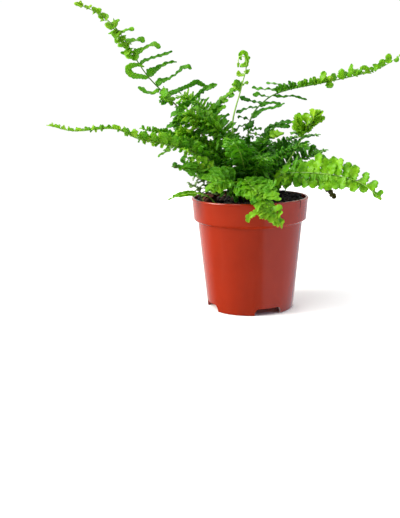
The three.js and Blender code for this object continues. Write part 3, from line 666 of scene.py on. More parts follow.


# The leaflets that are listed one by one, by frond.
LEAFLETS = {
    "tall_left": blades(
        dict(SLIM, waist=0.3, swell=1.2),
        (3, 0.66, (-64, 1, 139.5), (-62, 2, 140.5), (-60, 2, 141), (-58, 3, 141.5), (-56.5, 3, 140.5)),
    ) + blades(
        dict(SLIM, waist=0.3, swell=1.3),
        (3.4, 0.62, (-61, 2, 134.5), (-59, 3, 136), (-56, 3, 136), (-53.5, 4, 136.5), (-51.5, 4, 135)),
    ) + blades(
        dict(SLIM, waist=0.45, swell=1.4),
        (3.4, 0.62, (-58, 3, 129.5), (-55, 4, 130.5), (-52, 4, 132), (-49, 5, 133.5), (-46.5, 5, 134),
         (-44, 5, 132)),
    ) + blades(
        dict(SLIM, waist=0.1, swell=0.7),
        (2.8, 0.52, (-54.5, 5, 124), (-52, 5, 126), (-48, 6, 127.5), (-42.5, 7, 129), (-38, 7, 130.5)),
    ) + blades(
        dict(SLIM, waist=0.3, swell=0.35),
        (4.6, 0.48, (-51, 6, 119.5), (-47.5, 7, 121.5), (-44, 8, 123.5), (-40, 8, 125), (-36, 9, 125.5)),
    ) + blades(
        dict(SLIM, waist=0.62, swell=1.3),
        (3.4, 0.48, (-46.5, 7, 113.5), (-44.5, 8, 116), (-41, 9, 117), (-36.5, 9, 119.5),
         (-33, 10, 122.5), (-30.5, 10, 123), (-28.5, 10, 122)),
    ) + blades(
        dict(SLIM, waist=0.3, swell=1.1),
        (3.2, 0.42, (-41.5, 9, 110), (-38.5, 10, 110.5), (-33.5, 11, 112.5), (-29.5, 12, 114),
         (-26.5, 13, 115.5), (-24, 13, 114.5), (-21, 13, 113)),
    ) + blades(
        dict(swell=1.5),
        (2.9, 0.5, (-29, 10, 105), (-24, 12, 110.5), (-19.5, 13, 112.8), (-15.6, 14, 114.3)),
    ) + blades(
        dict(waist=-0.8, swell=1.1, lobes=0.2, ruffle=0.3, face=(0.3, -0.9, 0.3)),
        (2, 0.68, (-50, 6, 118), (-53.5, 4, 118.5), (-57.5, 1, 119), (-60, 0, 121.5), (-58.5, 0, 123.5),
         (-55, 2, 124), (-52, 3, 123)),
    ) + blades(
        dict(SLIM, waist=0.2, swell=1.8),
        (2.2, 0.6, (-45.5, 7, 111.5), (-49, 5, 110.5), (-52, 3, 111.5), (-55.5, 2, 113.5)),
    ) + blades(
        BLOB,
        (4.2, 0.56, (-44.5, 7, 112), (-42.5, 2, 110.5), (-41.5, -1, 108.5)),
        (5, 0.66, (-43.5, 7, 111), (-41.5, 2, 108.5), (-40.5, 0, 106)),
        (2, 0.72, (-42.5, 7, 109.5), (-43.5, 3, 108.5), (-45, 0, 108)),
        (2, 0.66, (-41.5, 7, 108.5), (-43.5, 3, 107), (-45, 0, 106.5)),
        (2, 0.66, (-41, 7, 107.5), (-43, 3, 106.5), (-45, 0, 105.5)),
        (2, 0.6, (-40.5, 7, 106), (-42.5, 3, 105.5), (-44, 0, 104.5)),
        (2.4, 0.65, (-41.5, 7, 108.5), (-39.5, 6, 107.5), (-37, 6, 107)),
        (2.4, 0.55, (-40.5, 7, 106.5), (-39.5, 5, 105.5), (-38.5, 4, 104)),
        (2.4, 0.5, (-42.5, 7, 110), (-40.5, 7, 110), (-38, 7, 111)),
        (4.6, 0.78, (-67, -1, 143), (-68, -2, 142.5), (-69, -3, 141.5)),
        (4.6, 0.78, (-67, -1, 143), (-65.5, -2, 143), (-64.5, -2, 142)),
        (2.2, 0.75, (-66.5, -1, 143.5), (-65, -1, 144.5), (-63, -1, 145)),
        (4.2, 0.82, (-70.5, -3, 146), (-71, -3, 146.5), (-72, -4, 145.5)),
        (4.2, 0.82, (-70.5, -3, 146), (-69.5, -3, 146.5), (-68, -3, 147)),
        (3.4, 0.84, (-73.5, -4, 149), (-74.5, -4, 149.5), (-75.5, -5, 149.5)),
        (3.4, 0.84, (-73.5, -4, 149), (-72.5, -4, 149), (-71.5, -4, 148.5)),
        (1.8, 0.86, (-77, -5, 150.5), (-78, -5, 151), (-79.3, -5, 151.2)),
        (1.8, 0.86, (-77.5, -5, 150.5), (-76.8, -5, 151.3), (-75.5, -5, 151.6)),
        (2, 0.88, (-80, -5.5, 151.6), (-82, -5.5, 152.3), (-83.5, -6, 152)),
        (1.8, 0.88, (-80.6, -5.5, 151.8), (-81, -5.5, 152.8), (-80.4, -5.5, 153.4)),
        (4.4, 0.74, (-65.5, 0, 139.5), (-64.5, -1, 137.5), (-63.5, -2, 136.5)),
        (2, 0.72, (-66, 0, 139.5), (-67, -1, 139.5), (-69, -1, 139)),
        (4, 0.7, (-65, 0, 139), (-65.5, -2, 138), (-66, -3, 137)),
        (4.6, 0.72, (-64, 1, 137), (-64, -1, 135.5), (-63.5, -2, 134.5)),
        (4.2, 0.7, (-63.5, 1, 137), (-62.5, 0, 136), (-61.5, -1, 135)),
        (4.8, 0.72, (-62, 2, 134.5), (-62.5, 0, 133.5), (-62.5, -1, 132.5)),
        (4.8, 0.7, (-62, 2, 134), (-60.5, 1, 134), (-59, 0, 133)),
        (4.4, 0.7, (-60, 3, 131.5), (-60, 1, 130), (-59.5, 0, 129)),
        (2, 0.7, (-60.5, 3, 131), (-61.5, 2, 130), (-63.5, 2, 130)),
        (4, 0.68, (-60, 3, 131), (-59, 2, 130.5), (-58, 1, 129.5)),
        (4.6, 0.7, (-58, 3, 128.5), (-59, 1, 128), (-59.5, 0, 127)),
        (4.2, 0.66, (-58, 3, 128.5), (-56.5, 2, 128), (-54.5, 1, 127.5)),
    ),
    "long_right": blades(
        {},
        (3, 0.25, (2.4, 23, 97), (8.6, 25, 100.6), (15.7, 26, 102), (21, 27, 103.8)),
        (2.6, 0.2, (7.5, 28, 102.5), (12, 28, 104.2), (17, 28, 104.1), (19.4, 28, 102.3)),
        (2.6, 0.15, (6.7, 28, 101.6), (2.3, 27, 102), (-1.5, 26, 100.8), (-5.3, 25, 99.3)),
        (3, 0.15, (9.8, 30, 104.6), (5.2, 29, 105.2), (0.8, 28, 106.3), (-3.2, 27, 107.7)),
        (3.2, 0.3, (13.8, 32, 107.4), (10.3, 31, 108), (7.5, 30, 109), (4, 29, 108.6)),
    ) + blades(
        dict(swell=0.7),
        (2.2, 0.3, (15, 33, 108.2), (21, 33, 107.4), (26.4, 34, 107.7), (34.2, 35, 105.4)),
    ) + blades(
        {},
        (3.2, 0.4, (19.5, 35, 110), (15, 34, 111.4), (9.4, 33, 111.7), (3.8, 32, 112.3)),
        (3.2, 0.4, (21.5, 36, 111), (18.8, 35, 114), (15, 34, 114.8), (11.6, 34, 115)),
    ) + blades(
        EVEN,
        (4.6, 0.12, (1.6, 22, 95), (1.4, 20, 93.6), (1, 18.5, 91.4)),
        (3.6, 0.66, (41.5, 41.6, 114.2), (43, 40, 117), (44.6, 39.5, 120.6)),
        (4, 0.6, (46.5, 43, 115), (47.6, 41.5, 113.5), (48.4, 40.5, 111.6)),
    ) + blades(
        ROUND,
        (4.4, 0.6, (54.5, 45, 116.5), (54.5, 44, 118.5), (54.5, 43, 122)),
        (3.6, 0.6, (59, 47, 117.5), (60, 46, 120.5), (60.5, 45, 124.5)),
        (5, 0.65, (62, 48, 118), (62.5, 46, 120), (64, 45, 122)),
        (6, 0.7, (69, 50, 119), (68.5, 48, 121), (69, 47, 123.5)),
        (4.6, 0.6, (75, 52, 121), (75, 51, 122.5), (75, 50, 124.5)),
        (4, 0.65, (79.5, 54, 123.5), (79.5, 53, 125), (79.5, 52, 127)),
        (4, 0.65, (83.5, 56, 126), (83.5, 55, 128), (84, 54, 130)),
        (3, 0.6, (88, 58, 128), (88.5, 57, 127.5), (88.5, 56, 125.5)),
        (3, 0.5, (65.5, 49, 118.5), (65.5, 48, 120), (66.5, 48, 122)),
        (3, 0.5, (57, 46, 117), (57, 45, 119), (57.5, 45, 120.5)),
        (3, 0.55, (73, 51, 120), (72.5, 50, 121), (73, 50, 123)),
        (2.6, 0.55, (77.5, 53, 122.5), (77.5, 52, 123.5), (78, 52, 125)),
        (3.4, 0.5, (51.5, 45, 116), (50.5, 44, 117.5), (49.5, 43, 119.5)),
    ),
    "droop_right": blades(
        BROAD,
        (4.8, 0.65, (24, -20, 70.5), (24.5, -20, 73.5), (26, -19, 76)),
        (4.8, 0.7, (27, -22, 70.5), (28, -22, 74.5), (29, -21, 77.5)),
        (4.8, 0.7, (30, -24, 70.5), (31, -24, 76), (31.5, -23, 80.5)),
        (4.8, 0.75, (33, -26, 70.5), (34, -26, 74.5), (34.5, -25, 78.5)),
        (4.8, 0.7, (36, -28, 70.5), (37, -28, 75), (38, -27, 79)),
        (4.8, 0.75, (39, -30, 70), (39.5, -30, 74.5), (40.5, -29, 78.5)),
        (4.8, 0.7, (42, -31, 69.5), (43, -31, 73), (44.5, -30, 76.5)),
        (4.8, 0.75, (45.5, -32, 69), (46.5, -32, 72), (47.5, -31, 75)),
        (4.8, 0.72, (49.5, -33, 67), (51, -33, 69), (52, -32, 72)),
        (4.8, 0.72, (53.5, -35, 64.5), (54.5, -35, 66), (56, -34, 68)),
        (2.6, 0.6, (57, -36, 61.5), (58, -36, 62.5), (58.5, -36, 64)),
        (4.8, 0.55, (22.5, -19, 70), (21.5, -21, 66.5), (20, -22, 64.5)),
        (4.8, 0.6, (25.5, -21, 70), (25, -23, 67), (24, -24, 64)),
        (4.8, 0.65, (28.5, -23, 70), (28.5, -25, 67), (28, -26, 64)),
        (4.8, 0.65, (31.5, -25, 70), (32, -27, 66.5), (31.5, -28, 63.5)),
        (4.8, 0.7, (34.5, -27, 70), (35, -29, 66.5), (34, -30, 63.5)),
        (4.8, 0.65, (37.5, -29, 70), (38, -31, 66.5), (37.5, -32, 64)),
        (4.8, 0.7, (40.5, -30, 69), (41, -32, 66.5), (40.5, -33, 64)),
        (4.4, 0.65, (43.5, -31, 68.5), (43.5, -33, 67), (43.5, -34, 65)),
        (4.8, 0.75, (46, -32, 68.5), (46, -34, 65), (46, -35, 63)),
        (4.4, 0.7, (49, -33, 67), (50.5, -34, 64.5), (50.5, -35, 62.5)),
        (2.4, 0.65, (55, -36, 63.5), (55.5, -36, 62), (56, -37, 60.5)),
        (5, 0.5, (20.5, -17, 69.5), (21, -17, 73), (23, -16, 75.5)),
        (5, 0.75, (18.5, -16, 69.5), (16.5, -19, 67), (16.5, -21, 64)),
    ) + blades(
        dict(waist=0.3, lobes=0.4),
        (3.4, -0.16, (31, -24, 69.5), (32.5, -26, 65), (36, -26, 62.5), (39, -26, 59)),
    ),
    "front_hanging": blades(
        PARTED,
        (3.6, 0.75, (-4, -22, 68), (-7.5, -27, 66), (-9, -31, 62)),
        (5, 0.7, (-3.5, -24, 67), (-6, -29, 65.5), (-7, -32, 62.5)),
        (5, 0.74, (-3, -28, 66.5), (-4, -32, 64), (-4, -34, 61)),
        (5, 0.78, (-1.5, -32, 66), (-2.5, -34, 63.5), (-2, -36, 60.5)),
        (5, 0.78, (0, -34, 65), (-0.5, -37, 62.5), (0, -39, 59.5)),
        (5, 0.82, (1.5, -36, 63), (1, -39, 60.5), (1, -41, 57.5)),
        (5, 0.6, (-3.5, -24, 67.5), (1, -25, 68.5), (6, -26, 68)),
        (5, 0.65, (-2.5, -30, 66.5), (2, -31, 67.5), (7.5, -32, 67)),
        (5, 0.7, (-0.5, -33, 65), (4, -34, 66), (9, -36, 66)),
        (5, 0.75, (1, -36, 63.5), (5.5, -37, 64.5), (10.5, -38, 64)),
        (4.5, 0.78, (3, -38, 62), (6.5, -40, 62.5), (11, -41, 62.5)),
        (4, 0.7, (1.5, -36, 63.5), (7, -36, 66.5), (9, -35, 70.5)),
        (4, 0.86, (6.5, -41, 57.5), (2.5, -43, 56), (0, -43, 55)),
    ) + blades(
        dict(waist=0.1, lobes=0.5),
        (2.8, 0.9, (4.5, -41, 58.5), (0.5, -43, 56), (-2.5, -43, 54.5), (-4, -43, 53), (-4, -43, 51)),
    ) + blades(
        PARTED,
        (3.6, 0.84, (3.5, -40, 59.5), (0.5, -42, 58.5), (-0.5, -43, 56.5)),
        (4, 0.9, (7, -42, 56), (4, -43, 54.5), (2.5, -43, 52.5)),
    ) + blades(
        NIPPED,
        (3.4, 0.92, (8.5, -42, 53.5), (6.5, -43, 52.5), (5.5, -43, 51)),
        (3, 0.92, (10, -42, 51.5), (8.5, -42, 50.5), (7.5, -42, 49.5)),
        (3, 0.85, (7, -42, 56.5), (10, -42, 57.5), (11.5, -42, 58.5)),
        (3, 0.88, (9, -42, 53), (10.5, -42, 54.5), (11.5, -42, 56)),
        (2.6, 0.92, (10.5, -42, 50), (11.5, -42, 51), (12.5, -42, 52)),
    ),
    "small_right": blades(
        {},
        (2, 0.15, (23, 3.5, 79.5), (25.5, 4.5, 84.5), (28.5, 5, 86.6), (34, 6, 87.7)),
        (1.8, 0.15, (21.6, 3.8, 77), (24, 5, 80.5), (29.4, 5, 83.2)),
    ) + blades(
        LOBE,
        (7, 0.76, (28.5, 2, 90), (31, 0, 93.5), (33, -2, 97), (34, -3, 100.5)),
        (4.5, 0.76, (31, 0, 94.5), (33, -3, 97), (36.5, -4, 99.5)),
        (4, 0.7, (30.5, 0, 93.5), (33.5, -2, 95), (37.5, -3, 97)),
        (5, 0.65, (29.5, 1, 92), (32, -1, 92.5), (34, -2, 93.5)),
        (4.5, 0.84, (31.5, -1, 95.5), (31, -3, 98.5), (31.5, -4, 101)),
        (4.5, 0.6, (29, 2, 90.5), (29.5, 1, 90), (30, 0, 89.5)),
        (6, 0.7, (27.5, 2, 88.5), (24.5, 0, 92), (24.5, -2, 96), (25, -3, 99)),
        (4.5, 0.8, (28, 2, 90.5), (24.5, -2, 94), (22.5, -4, 97)),
        (4.5, 0.7, (27.5, 2, 89), (24, -2, 90.5), (21.5, -4, 92)),
        (4, 0.52, (27, 3, 87.5), (23, 1, 89), (21, 0, 88.5)),
        (6, 0.76, (28.5, 1, 91), (28, -2, 95), (28.5, -2, 99)),
        (4.5, 0.7, (28.5, 1, 90.5), (26.5, 0, 92.5), (26, -1, 95)),
    ),
    "upright": blades(
        EVEN,
        (3.6, 0.8, (-4.4, 3, 111), (-6.5, 2.5, 112.6), (-8.6, 2, 113.6)),
        (3.2, 0.7, (-4, 3, 112), (-6, 1.6, 114.4), (-6.4, 1, 116)),
        (2.2, 0.8, (-3.6, 3, 113), (-2, 3, 114.2), (0, 3, 114.6)),
        (3.4, 0.85, (-2.2, 2.4, 118.4), (-4.2, 2, 118.6), (-6.2, 1.6, 119.2)),
        (2.2, 0.8, (-2, 2.4, 118.8), (-0.8, 2.2, 120), (0.4, 2, 121)),
        (1.8, 0.8, (-1.2, 2, 124), (-0.2, 2, 125.6), (0.2, 2, 127)),
        (2.4, 0.75, (-1.2, 2, 123), (-2.6, 1.6, 122.8), (-4.4, 1.4, 122)),
    ) + blades(
        dict(waist=0, swell=0.9, face=(0, -0.9, 0.4)),
        (2.4, 0.75, (-1.2, 2, 122), (-0.9, 2, 126.3), (-1.8, 2, 128.7), (-3.8, 2, 128.7),
         (-4.3, 2, 126.8), (-3.4, 2, 125.4)),
    ),
    "left_front": blades(
        PARTED,
        (4.5, 0.55, (-33, -22, 73.5), (-30, -21, 76), (-26.5, -20, 76)),
        (4.5, 0.6, (-30.5, -20, 72), (-26.5, -19, 74), (-22, -18, 74.5)),
        (4.5, 0.55, (-27.5, -18, 70.5), (-23.5, -17, 72.5), (-18.5, -16, 73)),
        (4.5, 0.5, (-24.5, -16, 68), (-20.5, -15, 71), (-16, -14, 71)),
        (4, 0.3, (-35, -23, 75), (-36.5, -23, 76), (-38.5, -23, 76)),
    ) + blades(
        NIPPED,
        (3, -0.12, (-37, -23, 75.5), (-37.5, -23, 76), (-38.5, -23, 75.5)),
    ) + blades(
        EVEN,
        (1.4, 0.45, (-30, -20, 72.5), (-33, -20, 77), (-34.5, -20, 78.5), (-33, -20, 79.5),
         (-29.5, -20, 79)),
    ) + blades(
        RAGGED,
        (3.4, 0.8, (-30.5, -20, 72), (-29.5, -20, 75.5), (-29, -20, 79)),
        (3.4, 0.85, (-29, -19, 71), (-27.5, -19, 74.5), (-26.5, -19, 78)),
        (3.4, 0.8, (-27, -18, 70), (-25, -18, 73.5), (-24, -18, 76.5)),
        (3.4, 0.85, (-25.5, -17, 68.5), (-23, -17, 72.5), (-21.5, -17, 75.5)),
        (3.2, 0.75, (-27.5, -18, 70.5), (-26.5, -18, 75), (-25.5, -18, 80)),
        (3.2, 0.75, (-25.5, -17, 68.5), (-23.5, -17, 74), (-22.5, -17, 79.5)),
    ) + blades(
        PARTED,
        (4.5, 0.5, (-32.5, -22, 75), (-30, -22, 73), (-27.5, -22, 71)),
        (4.5, 0.5, (-28, -18, 74), (-25.5, -19, 72), (-22.5, -20, 69.5)),
        (4.5, 0.55, (-23, -16, 73), (-21.5, -18, 70), (-19.5, -20, 67.5)),
        (4.5, 0.55, (-18, -13, 71), (-17.5, -17, 69), (-16.5, -20, 66.5)),
    ),
    "low_front": blades(
        PARTED,
        (5, 0.62, (-19.5, -29, 68), (-21, -31, 66.5), (-19.5, -32, 64.5)),
        (5, 0.66, (-17, -27, 68.5), (-18, -30, 66), (-17.5, -31, 63.5)),
        (5, 0.62, (-15, -25, 69), (-15, -28, 66.5), (-15.5, -30, 64)),
        (4.5, 0.56, (-12.5, -24, 68.5), (-12.5, -27, 67), (-13, -28, 65.5)),
        (4.5, 0.56, (-10.5, -22, 68.5), (-11, -26, 67), (-10.5, -28, 65.5)),
        (4.5, 0.6, (-18, -28, 68.5), (-20.5, -26, 70), (-24, -25, 71)),
        (4.5, 0.55, (-16, -26, 69), (-19, -24, 71.5), (-22.5, -23, 72.5)),
        (4.5, 0.5, (-14, -24, 69), (-16.5, -22, 72.5), (-20, -21, 74)),
        (4.5, 0.45, (-11.5, -21, 68.5), (-13, -20, 71.5), (-16, -19, 73.5)),
        (4.5, 0.4, (-9, -19, 67.5), (-9.5, -18, 71), (-12, -17, 74)),
    ),
    "right_behind": blades(
        dict(FORKED, waist=0.2),
        (3.2, 0.25, (16.5, 9, 70), (17, 9, 77.5), (16, 9, 86)),
        (3.2, 0.3, (22, 11, 72.5), (20.5, 10, 79), (18, 9, 85.5)),
        (3.2, 0.25, (26, 13, 74.5), (23, 11, 80), (20.5, 9, 84.5)),
        (3, 0.3, (30, 14, 76.5), (27.5, 12, 80.5), (24.5, 10, 84.5)),
        (3, 0.25, (33, 14, 77.5), (33.5, 12, 80), (34, 10, 83)),
    ),
    "inner_upper_left": blades(
        FORKED,
        (3.6, 0.5, (-34.5, -5, 100), (-37, -5, 100), (-39.5, -5, 99)),
        (3.6, 0.55, (-32.5, -5, 99), (-35.5, -5, 98), (-39.5, -5, 96.5)),
        (3.8, 0.5, (-31, -5, 98), (-36, -5, 96.5), (-41.5, -5, 94)),
        (3.8, 0.4, (-29, -5, 97), (-34, -5, 95), (-39, -5, 93.5)),
        (3.6, 0.45, (-32, -5, 98.5), (-34, -4, 101), (-37, -4, 102)),
        (3.8, 0.5, (-27, -5, 96), (-32, -6, 93.5), (-37.5, -6, 92)),
        (3.8, 0.85, (-25, -5, 94), (-30, -7, 92), (-36, -8, 91.5)),
        (4, 0.5, (-22.5, -4, 92.5), (-27.5, -6, 90), (-33.5, -7, 89)),
        (3.6, 0.6, (-30, -4, 97.5), (-28.5, -3, 100.5), (-26.5, -2, 103.5)),
        (3.6, 0.6, (-27, -4, 96), (-25.5, -3, 99.5), (-23, -2, 102)),
        (3.6, 0.7, (-24.5, -4, 94.5), (-22.5, -3, 98), (-20.5, -2, 101)),
        (3.6, 0.6, (-22, -3, 93), (-20, -2, 97), (-18.5, -1, 100.5)),
        (3.6, 0.65, (-19.5, -3, 91.5), (-17, -2, 95.5), (-15.5, -1, 99.5)),
        (3.6, 0.5, (-17, -3, 90), (-14, -2, 94), (-12, -1, 98)),
        (3.6, 0.55, (-15, -3, 88.5), (-11, -2, 92), (-8, -1, 95.5)),
        (3.6, 0.5, (-25.5, -4, 94.5), (-28, -6, 98), (-31, -7, 100)),
        (3.6, 0.6, (-22.5, -4, 93), (-23.5, -7, 97), (-25.5, -8, 100)),
        (3.6, 0.55, (-19.5, -4, 91), (-19, -8, 95), (-21, -9, 98)),
        (3.6, 0.7, (-17, -3, 89), (-15.5, -8, 92.5), (-17, -10, 95.5)),
    ),
    "inner_back": blades(
        FORKED,
        (4, 0.25, (5.5, 14, 88.4), (10.7, 13, 91.5), (16.8, 12, 93.4), (22.9, 11, 93.3)),
        (7, 0.8, (19, 8, 87.4), (15.6, 6, 89.1), (11.9, 5, 88.7)),
    ),
    "rim_left": blades(
        dict(waist=0, lobes=0.1, ruffle=0.2),
        (2.6, 0.75, (-27, -13, 61.5), (-31, -14, 61.5), (-35, -15, 61), (-39.2, -16, 60.2)),
    ),
}


# The ranks of leaflets on a rib: how far each is folded up from the first, its share of the length,
# and whether it keeps to the same side.
FLAT = ((0, 1.0, True),)
FULL = ((0, 1.0, True), (30, 0.72, False))
FLUFFY = ((0, 1.0, True), (34, 0.78, False), (-32, 0.6, False), (62, 0.5, True))
DENSE = FLUFFY + ((-62, 0.55, True), (15, 0.66, False))

# What a frond states replaces a value of USUAL. Lengths are in mm, angles in degrees, and of two values
# the first is at the root and the second at the tip, but for those marked left and right.
# path: points on the rib, from the crown to the tip; slot: of its material
# pairs: leaflets on each side by the rule; leaf: the longest; least: the shortest and the narrowest
# bare: share of the rib below the leaflets; gaps, left and right: further stretches without them
# full: share of the leafy part with leaflets of full length; taper: how fast they shorten beyond it
# squeeze, slim: shares of the usual lengths and widths; stout: share of the usual thickness of the rib
# roll: turn of the frond about its rib; lean: angle of the leaflets to the rib
# fold, left and right: how far leaflets rise from the frond; hook, left and right: how far they bend down
# sickle, twist: bend to one side and turn about their own length; sag: how far they hang, by length
# waist, swell, lobes, ruffle: narrowing in the middle, width of the tip, depth of notches and of waves
# age, rib_age: the colour, from 0, deep green or brown, to 1, yellow-green; fresh: what is added to age
# tufts: start, end, number and length of leaflets that stand out all round
# rows: close leaflets along a span of the rib that all grow much the same way
USUAL = dict(
    slot="leaf_mid", least=(2.2, 1.2), bare=0.2, full=0.1, taper=0.8, squeeze=1.0, slim=(1, 1), stout=1.0,
    roll=(0, 0), lean=(88, 70), fold=(10, 10), hook=(24, 24), sickle=12, twist=16, sag=0.08, waist=0.0,
    swell=0.86, lobes=0.26, ruffle=0.5, ranks=FLUFFY, gaps=((0, 0), (0, 0)), age=(0.35, 0.75),
    rib_age=(0.3, 0.7), fresh=0.0, tufts=(), rows=(),
)

# Narrow, curved and twisted leaflets, for the crowded middle.
CRISP = dict(
    ranks=DENSE, slim=(0.52, 0.48), lobes=0.12, ruffle=0.4, twist=24, hook=(22, 22), sickle=16,
    rib_age=(0.62, 0.75),
)

# The pale seedlings at the left.
BABY = dict(
    slot="leaf_pale", pairs=5, leaf=4, least=(2.6, 1.8), bare=0.35, ranks=FLAT, age=(0.3, 0.8),
    rib_age=(0.7, 1.0), fresh=0.2, tufts=[(0.3, 1.0, 14, 3.4)],
)

